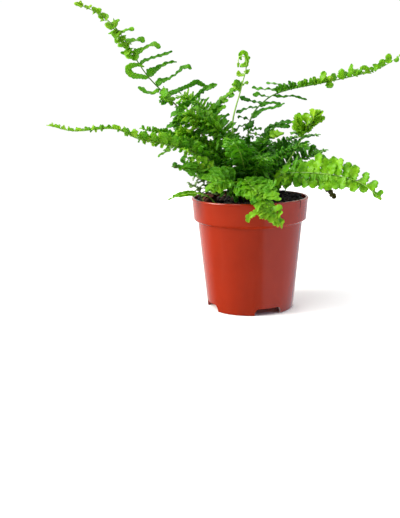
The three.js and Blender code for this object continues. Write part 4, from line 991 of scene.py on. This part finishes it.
# The fronds, each with what differs from the usual.
FRONDS = {
    "tall_left": dict(
        pairs=15, leaf=19, full=0.42, taper=1.25, slim=(0.62, 0.62), roll=(34, 46), fold=(40, 36),
        lean=(102, 96), hook=(60, 34), twist=50, sag=0.04, waist=0.45, ruffle=0.55, ranks=FLAT,
        gaps=((0.47, 1), (0.49, 1)), age=(0.4, 0.9), rib_age=(0, 0.7), fresh=0.02,
        tufts=[(0.2, 0.48, 14, 10)],
        path=[
            (-4.6, 1, 55), (-9, 2, 68), (-18, 4, 82), (-36, 7, 103), (-51, 6, 119), (-60.5, 2.4, 134.8),
            (-65.8, -0.6, 142.4), (-73, -4, 148), (-80, -5.5, 151.4),
        ],
    ),
    "long_left": dict(
        slot="leaf_light", pairs=19, leaf=10.5, least=(2.2, 2), bare=0.16, full=0.3, taper=1.5,
        squeeze=0.6, slim=(1.05, 0.9), roll=(4, -6), fold=(54, 46), lean=(80, 66), hook=(14, 14),
        sickle=10, twist=10, sag=0, lobes=0.3, ruffle=0.8, ranks=FLAT, age=(0.6, 0.95),
        rib_age=(0.5, 0.8), fresh=-0.12, tufts=[(0.1, 0.42, 16, 9)],
        rows=[
            dict(
                span=(0.25, 0.6), count=34, length=(7.5, 4.5), width=(2.8, 2.2), way=(-0.4, -0.3, 1),
                age=(0.5, 0.85),
            ),
            dict(
                span=(0.3, 0.6), count=10, length=(3, 2), width=(2.4, 2), way=(-0.4, -0.6, -0.8),
                age=(0.6, 0.9),
            ),
            dict(
                span=(0.6, 1), count=18, length=(2.6, 1.6), width=(2, 1.4), way=(-0.2, -0.3, 1),
                age=(0.75, 0.95),
            ),
            dict(
                span=(0.56, 0.86), count=8, length=(1.8, 1.2), width=(1.6, 1.3), way=(-0.3, -0.3, -1),
                age=(0.7, 0.9),
            ),
        ],
        path=[
            (-7, -2, 55), (-12, -5, 67), (-20, -9, 77), (-37, -18, 84.5), (-54, -25, 89),
            (-65, -29, 94), (-82, -34, 93.5), (-92, -38, 96),
        ],
    ),
    "long_right": dict(
        slot="leaf_light", pairs=19, leaf=14, least=(4.4, 3.4), bare=0.3, full=0.16, taper=1.3,
        squeeze=0.66, roll=(0, -6), fold=(40, 40), lean=(84, 66), twist=22, sag=0, lobes=0.36,
        ruffle=0.8, ranks=FLAT, gaps=((0.3, 1), (0.3, 1)), age=(0.42, 0.95), rib_age=(0.35, 0.75),
        fresh=0.1, tufts=[(0.1, 0.3, 16, 9)],
        rows=[
            dict(
                span=(0.47, 0.69), count=26, length=(4.6, 3.4), width=(2.4, 2.6), way=(-0.1, -0.3, 1),
                age=(0.5, 0.8),
            ),
            dict(
                span=(0.46, 0.69), count=12, length=(2.6, 2), width=(2, 2), way=(0.4, -0.8, 0.5),
                age=(0.55, 0.8),
            ),
        ],
        path=[
            (0.4, 4.6, 55), (0, 11, 74), (2, 22, 95), (11.5, 31, 106), (24, 36, 111), (47, 43, 115),
            (75, 52, 121), (91, 59, 129),
        ],
    ),
    "droop_right": dict(
        slot="leaf_light", pairs=14, leaf=10.5, bare=0.22, full=0.5, taper=0.75, slim=(1.4, 1.1),
        roll=(-30, -58), fold=(4, 4), lean=(94, 88), hook=(10, 10), sickle=5, twist=6, sag=0,
        lobes=0.28, ranks=FLAT, gaps=((0.4, 1), (0.4, 1)), age=(0.55, 0.85), rib_age=(0.4, 0.75),
        fresh=0.02, tufts=[(0.2, 0.5, 14, 7)],
        rows=[
            dict(
                span=(0.12, 0.34), count=14, length=(6, 6), width=(3, 3), way=(0.2, -0.5, -0.9),
                age=(0.3, 0.6),
            ),
            dict(
                span=(0.3, 0.7), count=12, length=(4.5, 4), width=(2.8, 2.4), way=(0.2, -0.5, -0.8),
                age=(0.5, 0.7),
            ),
        ],
        path=[
            (6.6, -3.4, 55), (9.5, -8, 64), (15, -14, 69.5), (24, -20.5, 71), (34, -27, 70.8),
            (42, -31, 69.4), (50, -34.5, 66.5), (56.5, -37, 61),
        ],
    ),
    "front_hanging": dict(
        slot="leaf_light", pairs=11, leaf=9, bare=0.22, full=0.6, taper=1.1, squeeze=0.6,
        slim=(1.2, 0.9), roll=(-6, 8), fold=(-14, -4), sag=0.16, lobes=0.4, ruffle=0.8, ranks=FULL,
        age=(0.6, 0.9), rib_age=(0.6, 0.9), fresh=-0.1,
        path=[
            (0.4, -7.4, 55), (-2.5, -14, 65), (-4, -23, 68.5), (-1.5, -32, 66), (3.5, -38.5, 61),
            (8.5, -41.5, 54.5), (11, -42, 50),
        ],
    ),
    "small_right": dict(
        slot="leaf_light", pairs=9, leaf=10, bare=0.42, full=0.5, squeeze=0.5, slim=(1.5, 1.6),
        roll=(-12, -66), fold=(6, 6), lobes=0.24, ruffle=0.4, ranks=FLAT, gaps=((0.42, 1), (0.42, 1)),
        age=(0.4, 0.8), rib_age=(0.5, 0.8), fresh=0.08,
        path=[(7, 1.4, 55), (11.5, 2, 63), (19, 4, 73), (25, 3, 82.5), (29.5, 0, 92), (34, -3, 99)],
    ),
    "upright": dict(
        slot="leaf_light", pairs=6, leaf=4.6, bare=0.56, full=0.6, taper=0.7, stout=1.2, roll=(40, 80),
        fold=(20, 20), ruffle=0.6, ranks=FLAT, gaps=((0.5, 1), (0.5, 1)), age=(0.6, 0.85),
        rib_age=(0.7, 0.95),
        path=[
            (-1.6, 1.6, 55), (-5, 3, 74), (-8.3, 5, 93), (-4, 3, 111), (-1.2, 2, 122), (-2, 1.4, 126.6),
            (-5, 1, 126.8), (-5.2, 1, 123.6),
        ],
    ),
    "left_front": dict(
        pairs=11, leaf=12, bare=0.18, squeeze=0.4, slim=(1.2, 1.2), roll=(30, 36), fold=(-6, 0),
        sag=0.2, lobes=0.16, ruffle=0.7, ranks=FULL, age=(0.4, 0.65), rib_age=(0.4, 0.5),
        tufts=[(0.1, 0.5, 14, 9)],
        path=[(-5.9, -4.4, 55), (-10, -7.5, 65), (-17, -12, 70.5), (-27, -17, 74), (-36.5, -22, 75.5)],
    ),
    "low_front": dict(
        pairs=10, leaf=11, bare=0.22, full=0.3, squeeze=0.5, slim=(1.2, 1.2), roll=(10, 16),
        fold=(-22, -10), sag=0.2, lobes=0.3, ruffle=0.7, ranks=FULL, age=(0.45, 0.7),
        rib_age=(0.6, 0.8), fresh=0.04,
        path=[(-3.2, -6.7, 55), (-7, -14, 64), (-13, -23, 68.3), (-18, -29, 68), (-21.5, -32.5, 66)],
    ),
    "towards_front": dict(
        slot="leaf_light", pairs=12, leaf=11, squeeze=0.8, roll=(6, -6), fold=(12, 12), lobes=0.16,
        ruffle=0.6, age=(0.32, 0.62), rib_age=(0.5, 0.7),
        path=[(-1.5, -4.3, 55), (-3, -10, 70), (-6, -24, 81), (-10, -40, 87), (-14, -59, 87)],
    ),
    "young_centre": dict(
        pairs=7, leaf=8, bare=0.5, roll=(46, 60), ruffle=0.6, ranks=FULL, age=(0.4, 0.75),
        path=[
            (-4.2, 4, 55), (-10, 7, 76), (-17, 10, 92), (-14.5, 12, 103), (-8, 13, 110),
            (-3.5, 12, 114.5),
        ],
    ),
    "left_behind": dict(
        **CRISP, slot="leaf_dark", pairs=11, leaf=11, roll=(10, 4), fold=(28, 28), lean=(92, 66),
        age=(0.36, 0.66), tufts=[(0.06, 0.5, 12, 9)],
        rows=[
            dict(
                span=(0.5, 1), count=20, length=(5, 3), width=(2.4, 2), way=(-0.2, -0.4, 1),
                age=(0.4, 0.7),
            ),
        ],
        path=[(-7.2, 1.8, 55), (-13, 6, 68), (-24, 10, 79), (-40, 15, 88), (-55, 18, 92)],
    ),
    "upper_left": dict(
        **CRISP, pairs=11, leaf=13, least=(9, 1.8), bare=0.3, roll=(20, 10), fold=(14, 14),
        lean=(96, 70), waist=0.3, swell=0.7, age=(0.5, 0.78), tufts=[(0.12, 0.6, 16, 10)],
        path=[(-1.9, 4.2, 55), (-7, 13, 76), (-15, 19, 94), (-24, 25, 103), (-34, 30, 108)],
    ),
    "right_behind": dict(
        **CRISP, slot="leaf_dark", pairs=9, leaf=10, roll=(-8, -12), fold=(20, 20), age=(0.25, 0.5),
        tufts=[(0.06, 0.5, 12, 8)],
        path=[(6.4, 3.8, 55), (10, 8, 63.5), (18, 11, 70), (30, 14, 76), (41, 16, 79)],
    ),
    "right_inner": dict(
        **CRISP, slot="leaf_dark", pairs=9, leaf=10, bare=0.26, taper=1.4, squeeze=0.7, roll=(-4, -8),
        fold=(0, 0), age=(0.28, 0.55), tufts=[(0.1, 0.45, 14, 8)],
        path=[(3.6, 3.2, 55), (6, 8, 70), (12, 15, 80.5), (25, 20, 86), (38, 23, 87)],
    ),
    "inner_left": dict(
        **CRISP, pairs=11, leaf=11, least=(9, 1.8), bare=0.16, roll=(16, 10), fold=(20, 24),
        lean=(92, 70), swell=0.7, age=(0.48, 0.78), tufts=[(0.08, 0.7, 16, 10)],
        path=[(-4.4, -1.8, 55), (-10, -3, 71), (-20, -5, 83), (-36, -8, 90.5)],
    ),
    "inner_upper_left": dict(
        **CRISP, pairs=11, leaf=13, least=(9, 1.8), roll=(20, 26), fold=(20, 20), lean=(94, 70),
        swell=0.7, age=(0.48, 0.78), tufts=[(0.1, 0.7, 18, 11)],
        path=[(-2.2, -0.8, 55), (-7, -2, 76), (-16, -4, 91), (-31, -6, 99)],
    ),
    "inner_front": dict(
        **CRISP, slot="leaf_dark", pairs=9, leaf=11, bare=0.16, fold=(6, 6), sag=0.16, age=(0.3, 0.6),
        tufts=[(0.08, 0.5, 12, 9)],
        path=[(1, -4.4, 55), (2.5, -11, 70), (4, -22, 78.5), (5, -36, 79)],
    ),
    "inner_right": dict(
        **CRISP, slot="leaf_dark", pairs=9, leaf=10, roll=(-10, -10), age=(0.25, 0.5),
        tufts=[(0.08, 0.6, 14, 9)],
        path=[(4, -1.6, 55), (9, -4.5, 70), (17, -9, 80), (27, -14, 84)],
    ),
    "inner_back": dict(
        **CRISP, slot="leaf_dark", pairs=8, leaf=11, bare=0.24, roll=(-10, -10), fold=(14, 14),
        age=(0.26, 0.55), tufts=[(0.1, 0.7, 16, 10)],
        path=[(1.8, 1.4, 55), (3.6, 4, 72), (7, 9, 83), (13, 16, 90)],
    ),
    "back_middle": dict(
        pairs=8, leaf=12, fold=(8, 8), sag=0.14, ranks=FULL, age=(0.25, 0.6),
        path=[(0.6, 7.4, 55), (1, 13, 67), (3, 28, 79), (5, 44, 80), (8, 59, 72)],
    ),
    "back_left": dict(
        pairs=9, leaf=12, roll=(6, 0), fold=(8, 8), sag=0.14, ranks=FULL, age=(0.3, 0.65),
        path=[(-4.7, 5.8, 55), (-11, 15, 69), (-23, 28, 80), (-36, 41, 83), (-48, 53, 76)],
    ),
    "back_right": dict(
        slot="leaf_dark", pairs=8, leaf=12, roll=(-6, 0), fold=(8, 8), sag=0.14, ranks=FULL,
        age=(0.2, 0.5),
        path=[(4, 6.2, 55), (10, 16, 68), (21, 29, 78), (35, 42, 80), (49, 52, 70)],
    ),
    "back_low_right": dict(
        pairs=8, leaf=10, roll=(-6, -10), fold=(4, 4), sag=0.16, ranks=FULL, age=(0.3, 0.65),
        path=[(5.4, 5.6, 54), (14, 12, 62), (25, 21, 66), (38, 28, 65), (49, 33, 59)],
    ),
    "back_low_left": dict(
        slot="leaf_dark", pairs=8, leaf=10, roll=(6, 0), fold=(4, 4), sag=0.16, ranks=FULL,
        age=(0.2, 0.5),
        path=[(-2.4, 7, 54), (-6, 16, 62), (-11, 28, 66), (-16, 39, 65), (-20, 49, 58)],
    ),
    "rim_left": dict(
        slot="leaf_light", pairs=6, leaf=3.6, bare=0.3, squeeze=0.7, slim=(2.2, 1.8), ranks=FLAT,
        age=(0.55, 0.8), rib_age=(0.8, 1),
        path=[
            (-17, -12, 53.5), (-20.5, -12.8, 58.6), (-27, -13.6, 61.2), (-34, -14.6, 61.2),
            (-40, -15.4, 59.2),
        ],
    ),
    "baby_left": dict(
        **BABY, roll=(10, 0),
        path=[(-23, -2.5, 53.5), (-25, -3, 59), (-27.4, -3.6, 63), (-30.5, -4.4, 65)],
    ),
    "baby_middle": dict(
        **BABY, roll=(30, 30),
        path=[(-20, -2, 53.5), (-21.5, -3, 60), (-24, -4.4, 66), (-27, -5.6, 70.5)],
    ),
    "baby_right": dict(
        **BABY, roll=(-20, -30),
        path=[(-17.5, -2.5, 53.5), (-17.6, -5, 59), (-18.2, -8.5, 64), (-19.4, -12.5, 67.5)],
    ),
}


class Draw:
    """A repeatable source of numbers from -1 to 1, the same as the solids grew by."""

    def __init__(self, seed):
        self.state = seed

    def next(self):
        self.state = (self.state * 1664525 + 1013904223) % 4294967296
        return self.state / 2147483648 - 1


class Line:
    """A smooth line through some points, measured along its length."""

    DIVISIONS = 400

    def __init__(self, points):
        self.points = [Vector(p) for p in points]
        line = [self.point(i / self.DIVISIONS) for i in range(self.DIVISIONS + 1)]
        self.lengths = [0.0]
        for a, b in zip(line, line[1:]):
            self.lengths.append(self.lengths[-1] + (b - a).length)
        self.length = self.lengths[-1]

    def point(self, t):
        p = self.points
        place = t * (len(p) - 1)
        i = min(int(place), len(p) - 2)
        w = place - i
        before = p[i - 1] if i > 0 else 2 * p[0] - p[1]
        after = p[i + 2] if i + 2 < len(p) else 2 * p[-1] - p[-2]
        a, b = p[i], p[i + 1]
        start, end = (b - before) / 2, (after - a) / 2
        return a + start * w + (3 * (b - a) - 2 * start - end) * w**2 + (2 * (a - b) + start + end) * w**3

    def at_share(self, share):
        """The curve's own parameter at a share of its length."""
        wanted = clamp(share) * self.length
        low, high = 0, self.DIVISIONS
        while high - low > 1:
            middle = (low + high) // 2
            if self.lengths[middle] <= wanted:
                low = middle
            else:
                high = middle
        part = (wanted - self.lengths[low]) / (self.lengths[high] - self.lengths[low])
        return (low + part) / self.DIVISIONS

    def heading(self, t):
        return (self.point(min(1, t + 1e-4)) - self.point(max(0, t - 1e-4))).normalized()


class Rib(Line):
    """A frond's rib, with the sides that its leaflets grow to."""

    TRIES = 200

    def __init__(self, frond):
        super().__init__(frond["path"])
        self.roll = frond["roll"]
        span = self.points[-1] - self.points[0]
        self.flat = Vector((span.x, span.y, 0)).normalized().cross(UP)

    def frame(self, share):
        """The rib's middle, direction, right side and upper side at a share of its length."""
        t = self.at_share(share)
        ahead = self.heading(t)
        flat = (self.flat - ahead * self.flat.dot(ahead)).normalized()
        right = Matrix.Rotation(-math.radians(mix(*self.roll, share)), 3, ahead) @ flat
        return self.point(t), ahead, right, right.cross(ahead)

    def nearest(self, place):
        """The point on the rib that is nearest to a place."""
        points = (self.point(i / self.TRIES) for i in range(self.TRIES + 1))
        return min(points, key=lambda p: (p - place).length)


def lobes_of(length):
    return max(2, round(length / LOBE_PITCH))


def columns_of(length):
    return max(FEWEST_COLUMNS, lobes_of(length) * COLUMNS_A_LOBE)


def leaf_width(a, ear, waist):
    """Half width of a leaflet at a share of its length, as a share of its widest."""
    root = clamp(0.25 + a * 9)
    end = math.sqrt(max(0.0, 1 - (clamp(a - 0.55) / 0.45) ** 2.6)) if a > 0.55 else 1.0
    eared = 1 + ear * math.exp(-(((a - 0.12) / 0.1) ** 2))
    narrow = 1 - waist * math.exp(-(((a - 0.5) / 0.24) ** 2))
    return root * max(end, 0.06) * eared * narrow


def grow_blade(shape, spine, length, width, look, age, draw):
    """A blade on a spine of (middle, side, face) places: a fine grid, lobed and ruffled at its edges."""
    columns = len(spine) - 1
    rows = 6 if length > LONG_BLADE else 4
    lobes = lobes_of(length)
    wave = min(1.0, length * 0.11) * look["ruffle"] * draw.uniform(0.75, 1.3)
    waves = lobes * draw.uniform(0.42, 0.6)
    phases = [draw.uniform(0, math.tau) for _ in range(3)]
    grid = bmesh.ops.create_grid(shape, x_segments=columns, y_segments=rows, size=0.5)["verts"]
    note(shape, grid, age=age)
    layers = shape.verts.layers.float
    for v in grid:
        a, b = v.co.x + 0.5, v.co.y * 2
        place, wide, normal = spine[round(a * columns)]
        edge = abs(b)
        upper = b > 0
        crenate = abs(math.sin(math.pi * (lobes * a + (0.5 if upper else 0)))) ** 0.7
        ear = 0.3 if upper else 0.02
        half = width * 0.5 * leaf_width(a, ear, look["waist"]) * mix(1.0, look["swell"], a)
        half *= 1 - look["lobes"] * edge**2 * (1 - crenate)
        phase = phases[0] if upper else phases[1]
        ripple = wave * edge**1.4 * math.sin(math.tau * waves * a + phase) * clamp(a * 5)
        crease = -0.14 * (1 - edge) ** 3 + 0.1 * width * edge**2 * math.sin(phases[2])
        v.co = place + wide * (b * half) + normal * (ripple + crease)
        v[layers["across"]] = b
        v[layers["along"]] = a * length


def squared(ahead, wide, normal):
    """A side and a face, made square to the way ahead."""
    wide = (wide - ahead * wide.dot(ahead)).normalized()
    normal = (normal - ahead * normal.dot(ahead) - wide * normal.dot(wide)).normalized()
    return wide, normal


def leaflet_spine(start, along, across, above, length, bends):
    """The spine of a leaflet that rises by its fold, hooks down, bends sideways and twists."""
    fold = math.radians(min(STEEPEST_FOLD, bends["fold"]) * min(1, length / FULL_FOLD_LENGTH))
    rising = along * math.cos(fold) + above * math.sin(fold)
    facing = above * math.cos(fold) - along * math.sin(fold)
    columns = columns_of(length)
    middle = start.copy()
    spine = []
    for i in range(columns + 1):
        a = i / columns
        bend = bends["hook"] * a**1.8
        swing = bends["sickle"] * a
        turn = bends["twist"] * min(1, 2.5 * a)
        onwards = rising * (math.cos(bend) * math.cos(swing))
        ahead = onwards + across * math.sin(swing) - facing * math.sin(bend)
        wide = across * math.cos(turn) + facing * math.sin(turn)
        normal = facing * math.cos(turn) - across * math.sin(turn)
        sag = UP * (-bends["sag"] * length * a * a)
        spine.append((middle + sag, *squared(ahead, wide, normal)))
        middle = middle + ahead * (length / columns)
    return spine


def grow_leaflet(shape, frond, start, sides, size, draw):
    """One leaflet that grows from the rib by the frond's own rule."""
    length = size["length"]
    hook = size["hook"] * (1 + 0.6 * draw.uniform(-1, 1)) * clamp(length / FULL_HOOK_LENGTH)
    sickle = frond["sickle"] * (1 + draw.uniform(-1, 1))
    twist = math.radians(frond["twist"] * draw.uniform(-0.6, 1.6)) * min(1, length / FULL_TWIST_LENGTH)
    bends = {
        "fold": size["fold"],
        "hook": math.radians(hook),
        "sickle": math.radians(sickle),
        "twist": twist,
        "sag": frond["sag"],
    }
    spine = leaflet_spine(start, *sides, length, bends)
    grow_blade(shape, spine, length, size["width"], frond, size["age"], draw)


def grow_set_leaflet(shape, rib, frond, leaflet, draw):
    """A leaflet along a line through given points, or parted into fingers."""
    look = {**frond, **SET_LOOK, **leaflet}
    points = [rib.nearest(Vector(look["path"][0]))] + [Vector(p) for p in look["path"][1:]]
    face = Vector(look["face"]).normalized()
    fingers = look["fingers"]
    width = look["width"] * (1 if fingers == 1 else 1.45 / fingers)
    beside = face.cross((points[-1] - points[0]).normalized())
    for finger in range(fingers):
        off = (finger + 0.5 - fingers / 2) * look["width"] / fingers
        reach = draw.uniform(0.82, 1.12) if fingers > 1 else 1.0
        parted = []
        for i, point in enumerate(points):
            share = i / (len(points) - 1)
            parted.append(points[0] + (point - points[0]) * mix(1, reach, share) + beside * off * share)
        grow_ribbon(shape, Line(parted), width, face, look, draw)


def grow_ribbon(shape, line, width, face, look, draw):
    """A single blade along a line, its face swaying a little."""
    columns = columns_of(line.length)
    phase = draw.uniform(0, math.tau)
    spine = []
    for i in range(columns + 1):
        t = line.at_share(i / columns)
        ahead = line.heading(t)
        sway = Matrix.Rotation(WIDEST_SWAY * math.sin(phase + 3 * i / columns), 3, ahead)
        wide = sway @ face.cross(ahead)
        spine.append((line.point(t), *squared(ahead, wide, ahead.cross(wide))))
    grow_blade(shape, spine, line.length, width, look, look["age"] + look["fresh"], draw)


def grow_rib(shape, rib, frond):
    """The rib: a round tube that tapers to the tip, closed at both ends."""
    steps = max(FEWEST_RIB_STEPS, round(rib.length / RIB_STEP))
    stout = frond["stout"] * (1.0 if rib.length > LONG_RIB else 0.8)
    ring = None
    for i in range(steps + 1):
        share = i / steps
        at, ahead, right, above = rib.frame(share)
        place = Matrix((right, above, -ahead)).transposed().to_4x4()
        place.translation = at
        radius = mix(*RIB_RADIUS, share**0.7) * stout
        ring = add_ring(shape, ring, RIB_SIDES, radius, place, i in (0, steps))
        note(shape, ring, age=mix(*frond["rib_age"], share))


def grow_leaflets(shape, rib, frond, seed, draw):
    """The leaflets that the frond's rule sets along its rib, in all its ranks."""
    grown = Draw(seed)
    spans = frond["pairs"] * 2
    shares = [
        mix(frond["bare"], 1, i / spans * (1 + CROWDING - CROWDING * i / spans)) for i in range(spans + 1)
    ]
    for i in range(spans):
        x = i / spans
        side = -1 if i % 2 == 0 else 1
        start, end = shares[i], shares[i + 1]
        middle = (start + end) / 2
        at, ahead, right, above = rib.frame(middle)
        shrink = min(1, FIRST_SHARE + LENGTHENING * x)
        shrink *= min(1, (1 - x) / (1 - frond["full"])) ** frond["taper"]
        length = max(SHORTEST_LEAFLET, frond["leaf"] * shrink * (1 + 0.08 * grown.next()))
        length = max(frond["least"][0], length * frond["squeeze"])
        lean = mix(*frond["lean"], x) + 1.5 * grown.next()
        fold = frond["fold"][0 if side < 0 else 1] + 9 * grown.next()
        # The solids draw the leaflet's ruffle here.
        grown.next()
        pitch = (end - start) * rib.length
        width = min(pitch * WIDEST_TO_PITCH, frond["leaf"] * WIDEST_TO_LEAF) * mix(*frond["slim"], x)
        width = max(width, frond["least"][1])
        for extra_fold, share, keeps in frond["ranks"]:
            way = side if keeps else -side
            gap = frond["gaps"][0 if way < 0 else 1]
            if gap[0] < middle < gap[1]:
                continue
            turned = math.radians(lean + draw.uniform(-8, 8))
            outwards = right * way
            along = outwards * math.sin(turned) + ahead * math.cos(turned)
            across = ahead * math.sin(turned) - outwards * math.cos(turned)
            size = {
                "length": length * share * draw.uniform(0.9, 1.12),
                "width": width * mix(0.7, 1.0, share),
                "fold": fold + extra_fold + draw.uniform(-8, 8),
                "hook": frond["hook"][0 if way < 0 else 1],
                "age": clamp(mix(*frond["age"], x) + frond["fresh"] + draw.uniform(-0.14, 0.14)),
            }
            grow_leaflet(shape, frond, at, (along, across, above), size, draw)
    at, ahead, right, above = rib.frame(1)
    last = max(2, frond["leaf"] * END_TO_LEAF)
    size = {
        "length": last,
        "width": last * 0.7,
        "fold": 0,
        "hook": frond["hook"][0],
        "age": frond["age"][1],
    }
    grow_leaflet(shape, frond, at - ahead * 0.3, (ahead, right, above), size, draw)


def grow_tuft(shape, rib, frond, tuft, draw):
    """Leaflets that stand out all round a stretch of the rib, as they do where it is crowded."""
    start, end, count, length = tuft
    for i in range(count):
        share = mix(start, end, (i + draw.random()) / count)
        at, ahead, right, above = rib.frame(share)
        turn = draw.uniform(0, math.tau)
        lean = math.radians(draw.uniform(55, 95))
        outwards = right * math.cos(turn) + above * math.sin(turn)
        along = (outwards * math.sin(lean) + ahead * math.cos(lean)).normalized()
        across = UP.cross(along).normalized()
        size = {
            "age": clamp(mix(*frond["age"], share) + draw.uniform(-0.2, 0.1)),
            "length": length * draw.uniform(0.7, 1.25),
            "width": draw.uniform(2.0, 3.0),
            "fold": 0,
            "hook": 40,
        }
        grow_leaflet(shape, frond, at, (along, across, along.cross(across)), size, draw)


def grow_row(shape, rib, frond, row, draw):
    """A close row of leaflets along a stretch of the rib, all growing much the same way."""
    for i in range(row["count"]):
        x = (i + draw.random()) / row["count"]
        at, ahead, right, above = rib.frame(mix(*row["span"], x))
        along = (Vector(row["way"]).normalized() + ahead * draw.uniform(-0.4, 0.4)).normalized()
        across = ROW_FACE.cross(along).normalized()
        size = {
            "length": mix(*row["length"], x) * draw.uniform(0.75, 1.2),
            "width": mix(*row["width"], x) * draw.uniform(0.85, 1.15),
            "fold": 0,
            "hook": 20,
            "age": clamp(mix(*row["age"], x) + draw.uniform(-0.15, 0.15)),
        }
        grow_leaflet(shape, frond, at, (along, across, along.cross(across)), size, draw)


def thicken(shape):
    """Gives the blades their thickness, also where one is creased too sharply to be offset evenly."""
    before = kdtree.KDTree(len(shape.verts))
    for i, v in enumerate(shape.verts):
        before.insert(v.co, i)
    before.balance()
    bmesh.ops.solidify(shape, geom=shape.faces[:], thickness=BLADE_THICKNESS)
    for v in shape.verts:
        near, _, away = before.find(v.co)
        if away > THICKEST:
            v.co = near + (v.co - near) * (THICKEST / away)


def make_frond(name, given):
    frond = {**USUAL, **given}
    rib = Rib(frond)
    draw = random.Random(name)
    shape = begin()
    # The seed is the one that the solid frond has.
    grow_leaflets(shape, rib, frond, len("frond_" + name) * 977 + frond["pairs"] * 31, draw)
    for leaflet in LEAFLETS.get(name, ()):
        grow_set_leaflet(shape, rib, frond, leaflet, draw)
    for row in frond["rows"]:
        grow_row(shape, rib, frond, row, draw)
    for tuft in frond["tufts"]:
        grow_tuft(shape, rib, frond, tuft, draw)
    thicken(shape)
    leaf_faces = len(shape.faces)
    grow_rib(shape, rib, frond)
    shape.faces.ensure_lookup_table()
    for face in shape.faces[leaf_faces:]:
        face.material_index = 1
    leaf = PALE_LEAF if frond["slot"] == "leaf_pale" else LEAF
    finish_piece("fine_" + name, shape, [leaf, RIB], ["frond_" + name])


make_pot()
make_soil()
make_crumbs()
make_fibres()
make_crown()
make_bark()
for frond_name, frond_given in FRONDS.items():
    make_frond(frond_name, frond_given)


# Floor, light and camera, in metres

EYE = Vector((-26.3, -361.4, 104.4)) * MILLIMETRE
LOOK_DOWN = math.radians(12.4)
CAMERA_ROLL = math.radians(-1.2)
LENS = 49.0
NEAREST_SEEN = 0.01
FLOOR_RADIUS = 0.55
FLOOR_HEIGHT = -0.0001
LIT_POINT = Vector((0, 0, 0.07))
STUDIO_STRENGTH = 1.02
LIGHTS = [
    # name, place, power, size, tint
    ("key", (-1.0, -0.14, 0.62), 17, (0.5, 0.5), (1.0, 0.96, 0.88)),
    ("top", (-0.5, -0.32, 0.95), 8, (0.8, 0.8), (1.0, 1.0, 0.96)),
    ("cool side", (0.7, -0.3, 0.2), 1.6, (0.5, 0.8), (0.42, 0.56, 1.0)),
    ("back", (0.2, 0.8, 0.7), 3, (0.6, 0.6), (1.0, 1.0, 0.92)),
]


def make_floor():
    make = new_finish("pale_floor")
    faint = make.noise(make.places(), 3.0)
    shade = make.ramp(faint, [(0.3, grey(0.93)), (0.7, grey(0.95))])
    material = make.done(make.surface(Base_Color=shade, Roughness=0.8))
    shape = bmesh.new()
    bmesh.ops.create_circle(shape, cap_ends=True, segments=96, radius=FLOOR_RADIUS)
    floor = plain_object("floor", shape)
    floor.data.materials.append(material)
    floor.location.z = FLOOR_HEIGHT
    floor.visible_glossy = False


def make_light(name, place, power, size, tint):
    lamp = bpy.data.lights.new(name, "AREA")
    lamp.energy = power
    lamp.shape = "RECTANGLE"
    lamp.size, lamp.size_y = size
    lamp.color = tint
    light = bpy.data.objects.new(name, lamp)
    light.location = place
    light.rotation_euler = (LIT_POINT - Vector(place)).to_track_quat("-Z", "Y").to_euler()
    bpy.context.scene.collection.objects.link(light)


def make_camera():
    lens = bpy.data.cameras.new("camera")
    lens.sensor_width = 36
    lens.lens = LENS
    lens.clip_start = NEAREST_SEEN
    camera = bpy.data.objects.new("camera", lens)
    ahead = Vector((0, math.cos(LOOK_DOWN), -math.sin(LOOK_DOWN)))
    right = Vector((1, 0, 0))
    top = right.cross(ahead)
    side = right * math.cos(CAMERA_ROLL) + top * math.sin(CAMERA_ROLL)
    over = top * math.cos(CAMERA_ROLL) - right * math.sin(CAMERA_ROLL)
    pose = Matrix((side, over, -ahead)).transposed().to_4x4()
    pose.translation = EYE
    camera.matrix_world = pose
    bpy.context.scene.collection.objects.link(camera)
    bpy.context.scene.camera = camera


def make_backdrop():
    """A white studio, dim on the side that the plant is seen from but for a cool card low on the right."""
    make = Finish(bpy.data.worlds.new("studio"))
    way = make.node("TexCoord", {}, {}, "Generated")
    across, ahead, height = [make.node("SeparateXYZ", {}, [way], axis) for axis in "XYZ"]
    bright = ((ahead + height * 1.2) * 0.5 + 0.5).clamped()
    shade = make.ramp(bright, [(0.35, grey(0.06)), (0.72, grey(1.0))])
    card = (across * 12.0 - 4.4).clamped() * (height * -12.0 - 1.0).clamped()
    shade = make.blend(card, shade, (0.62, 0.72, 0.82, 1))
    light = make.node("Background", {}, {"Color": shade, "Strength": STUDIO_STRENGTH})
    bpy.context.scene.world = make.done(light)


make_floor()
for light_values in LIGHTS:
    make_light(*light_values)
make_backdrop()
bpy.context.scene.view_settings.view_transform = "Standard"
make_camera()

bpy.context.view_layer.update()
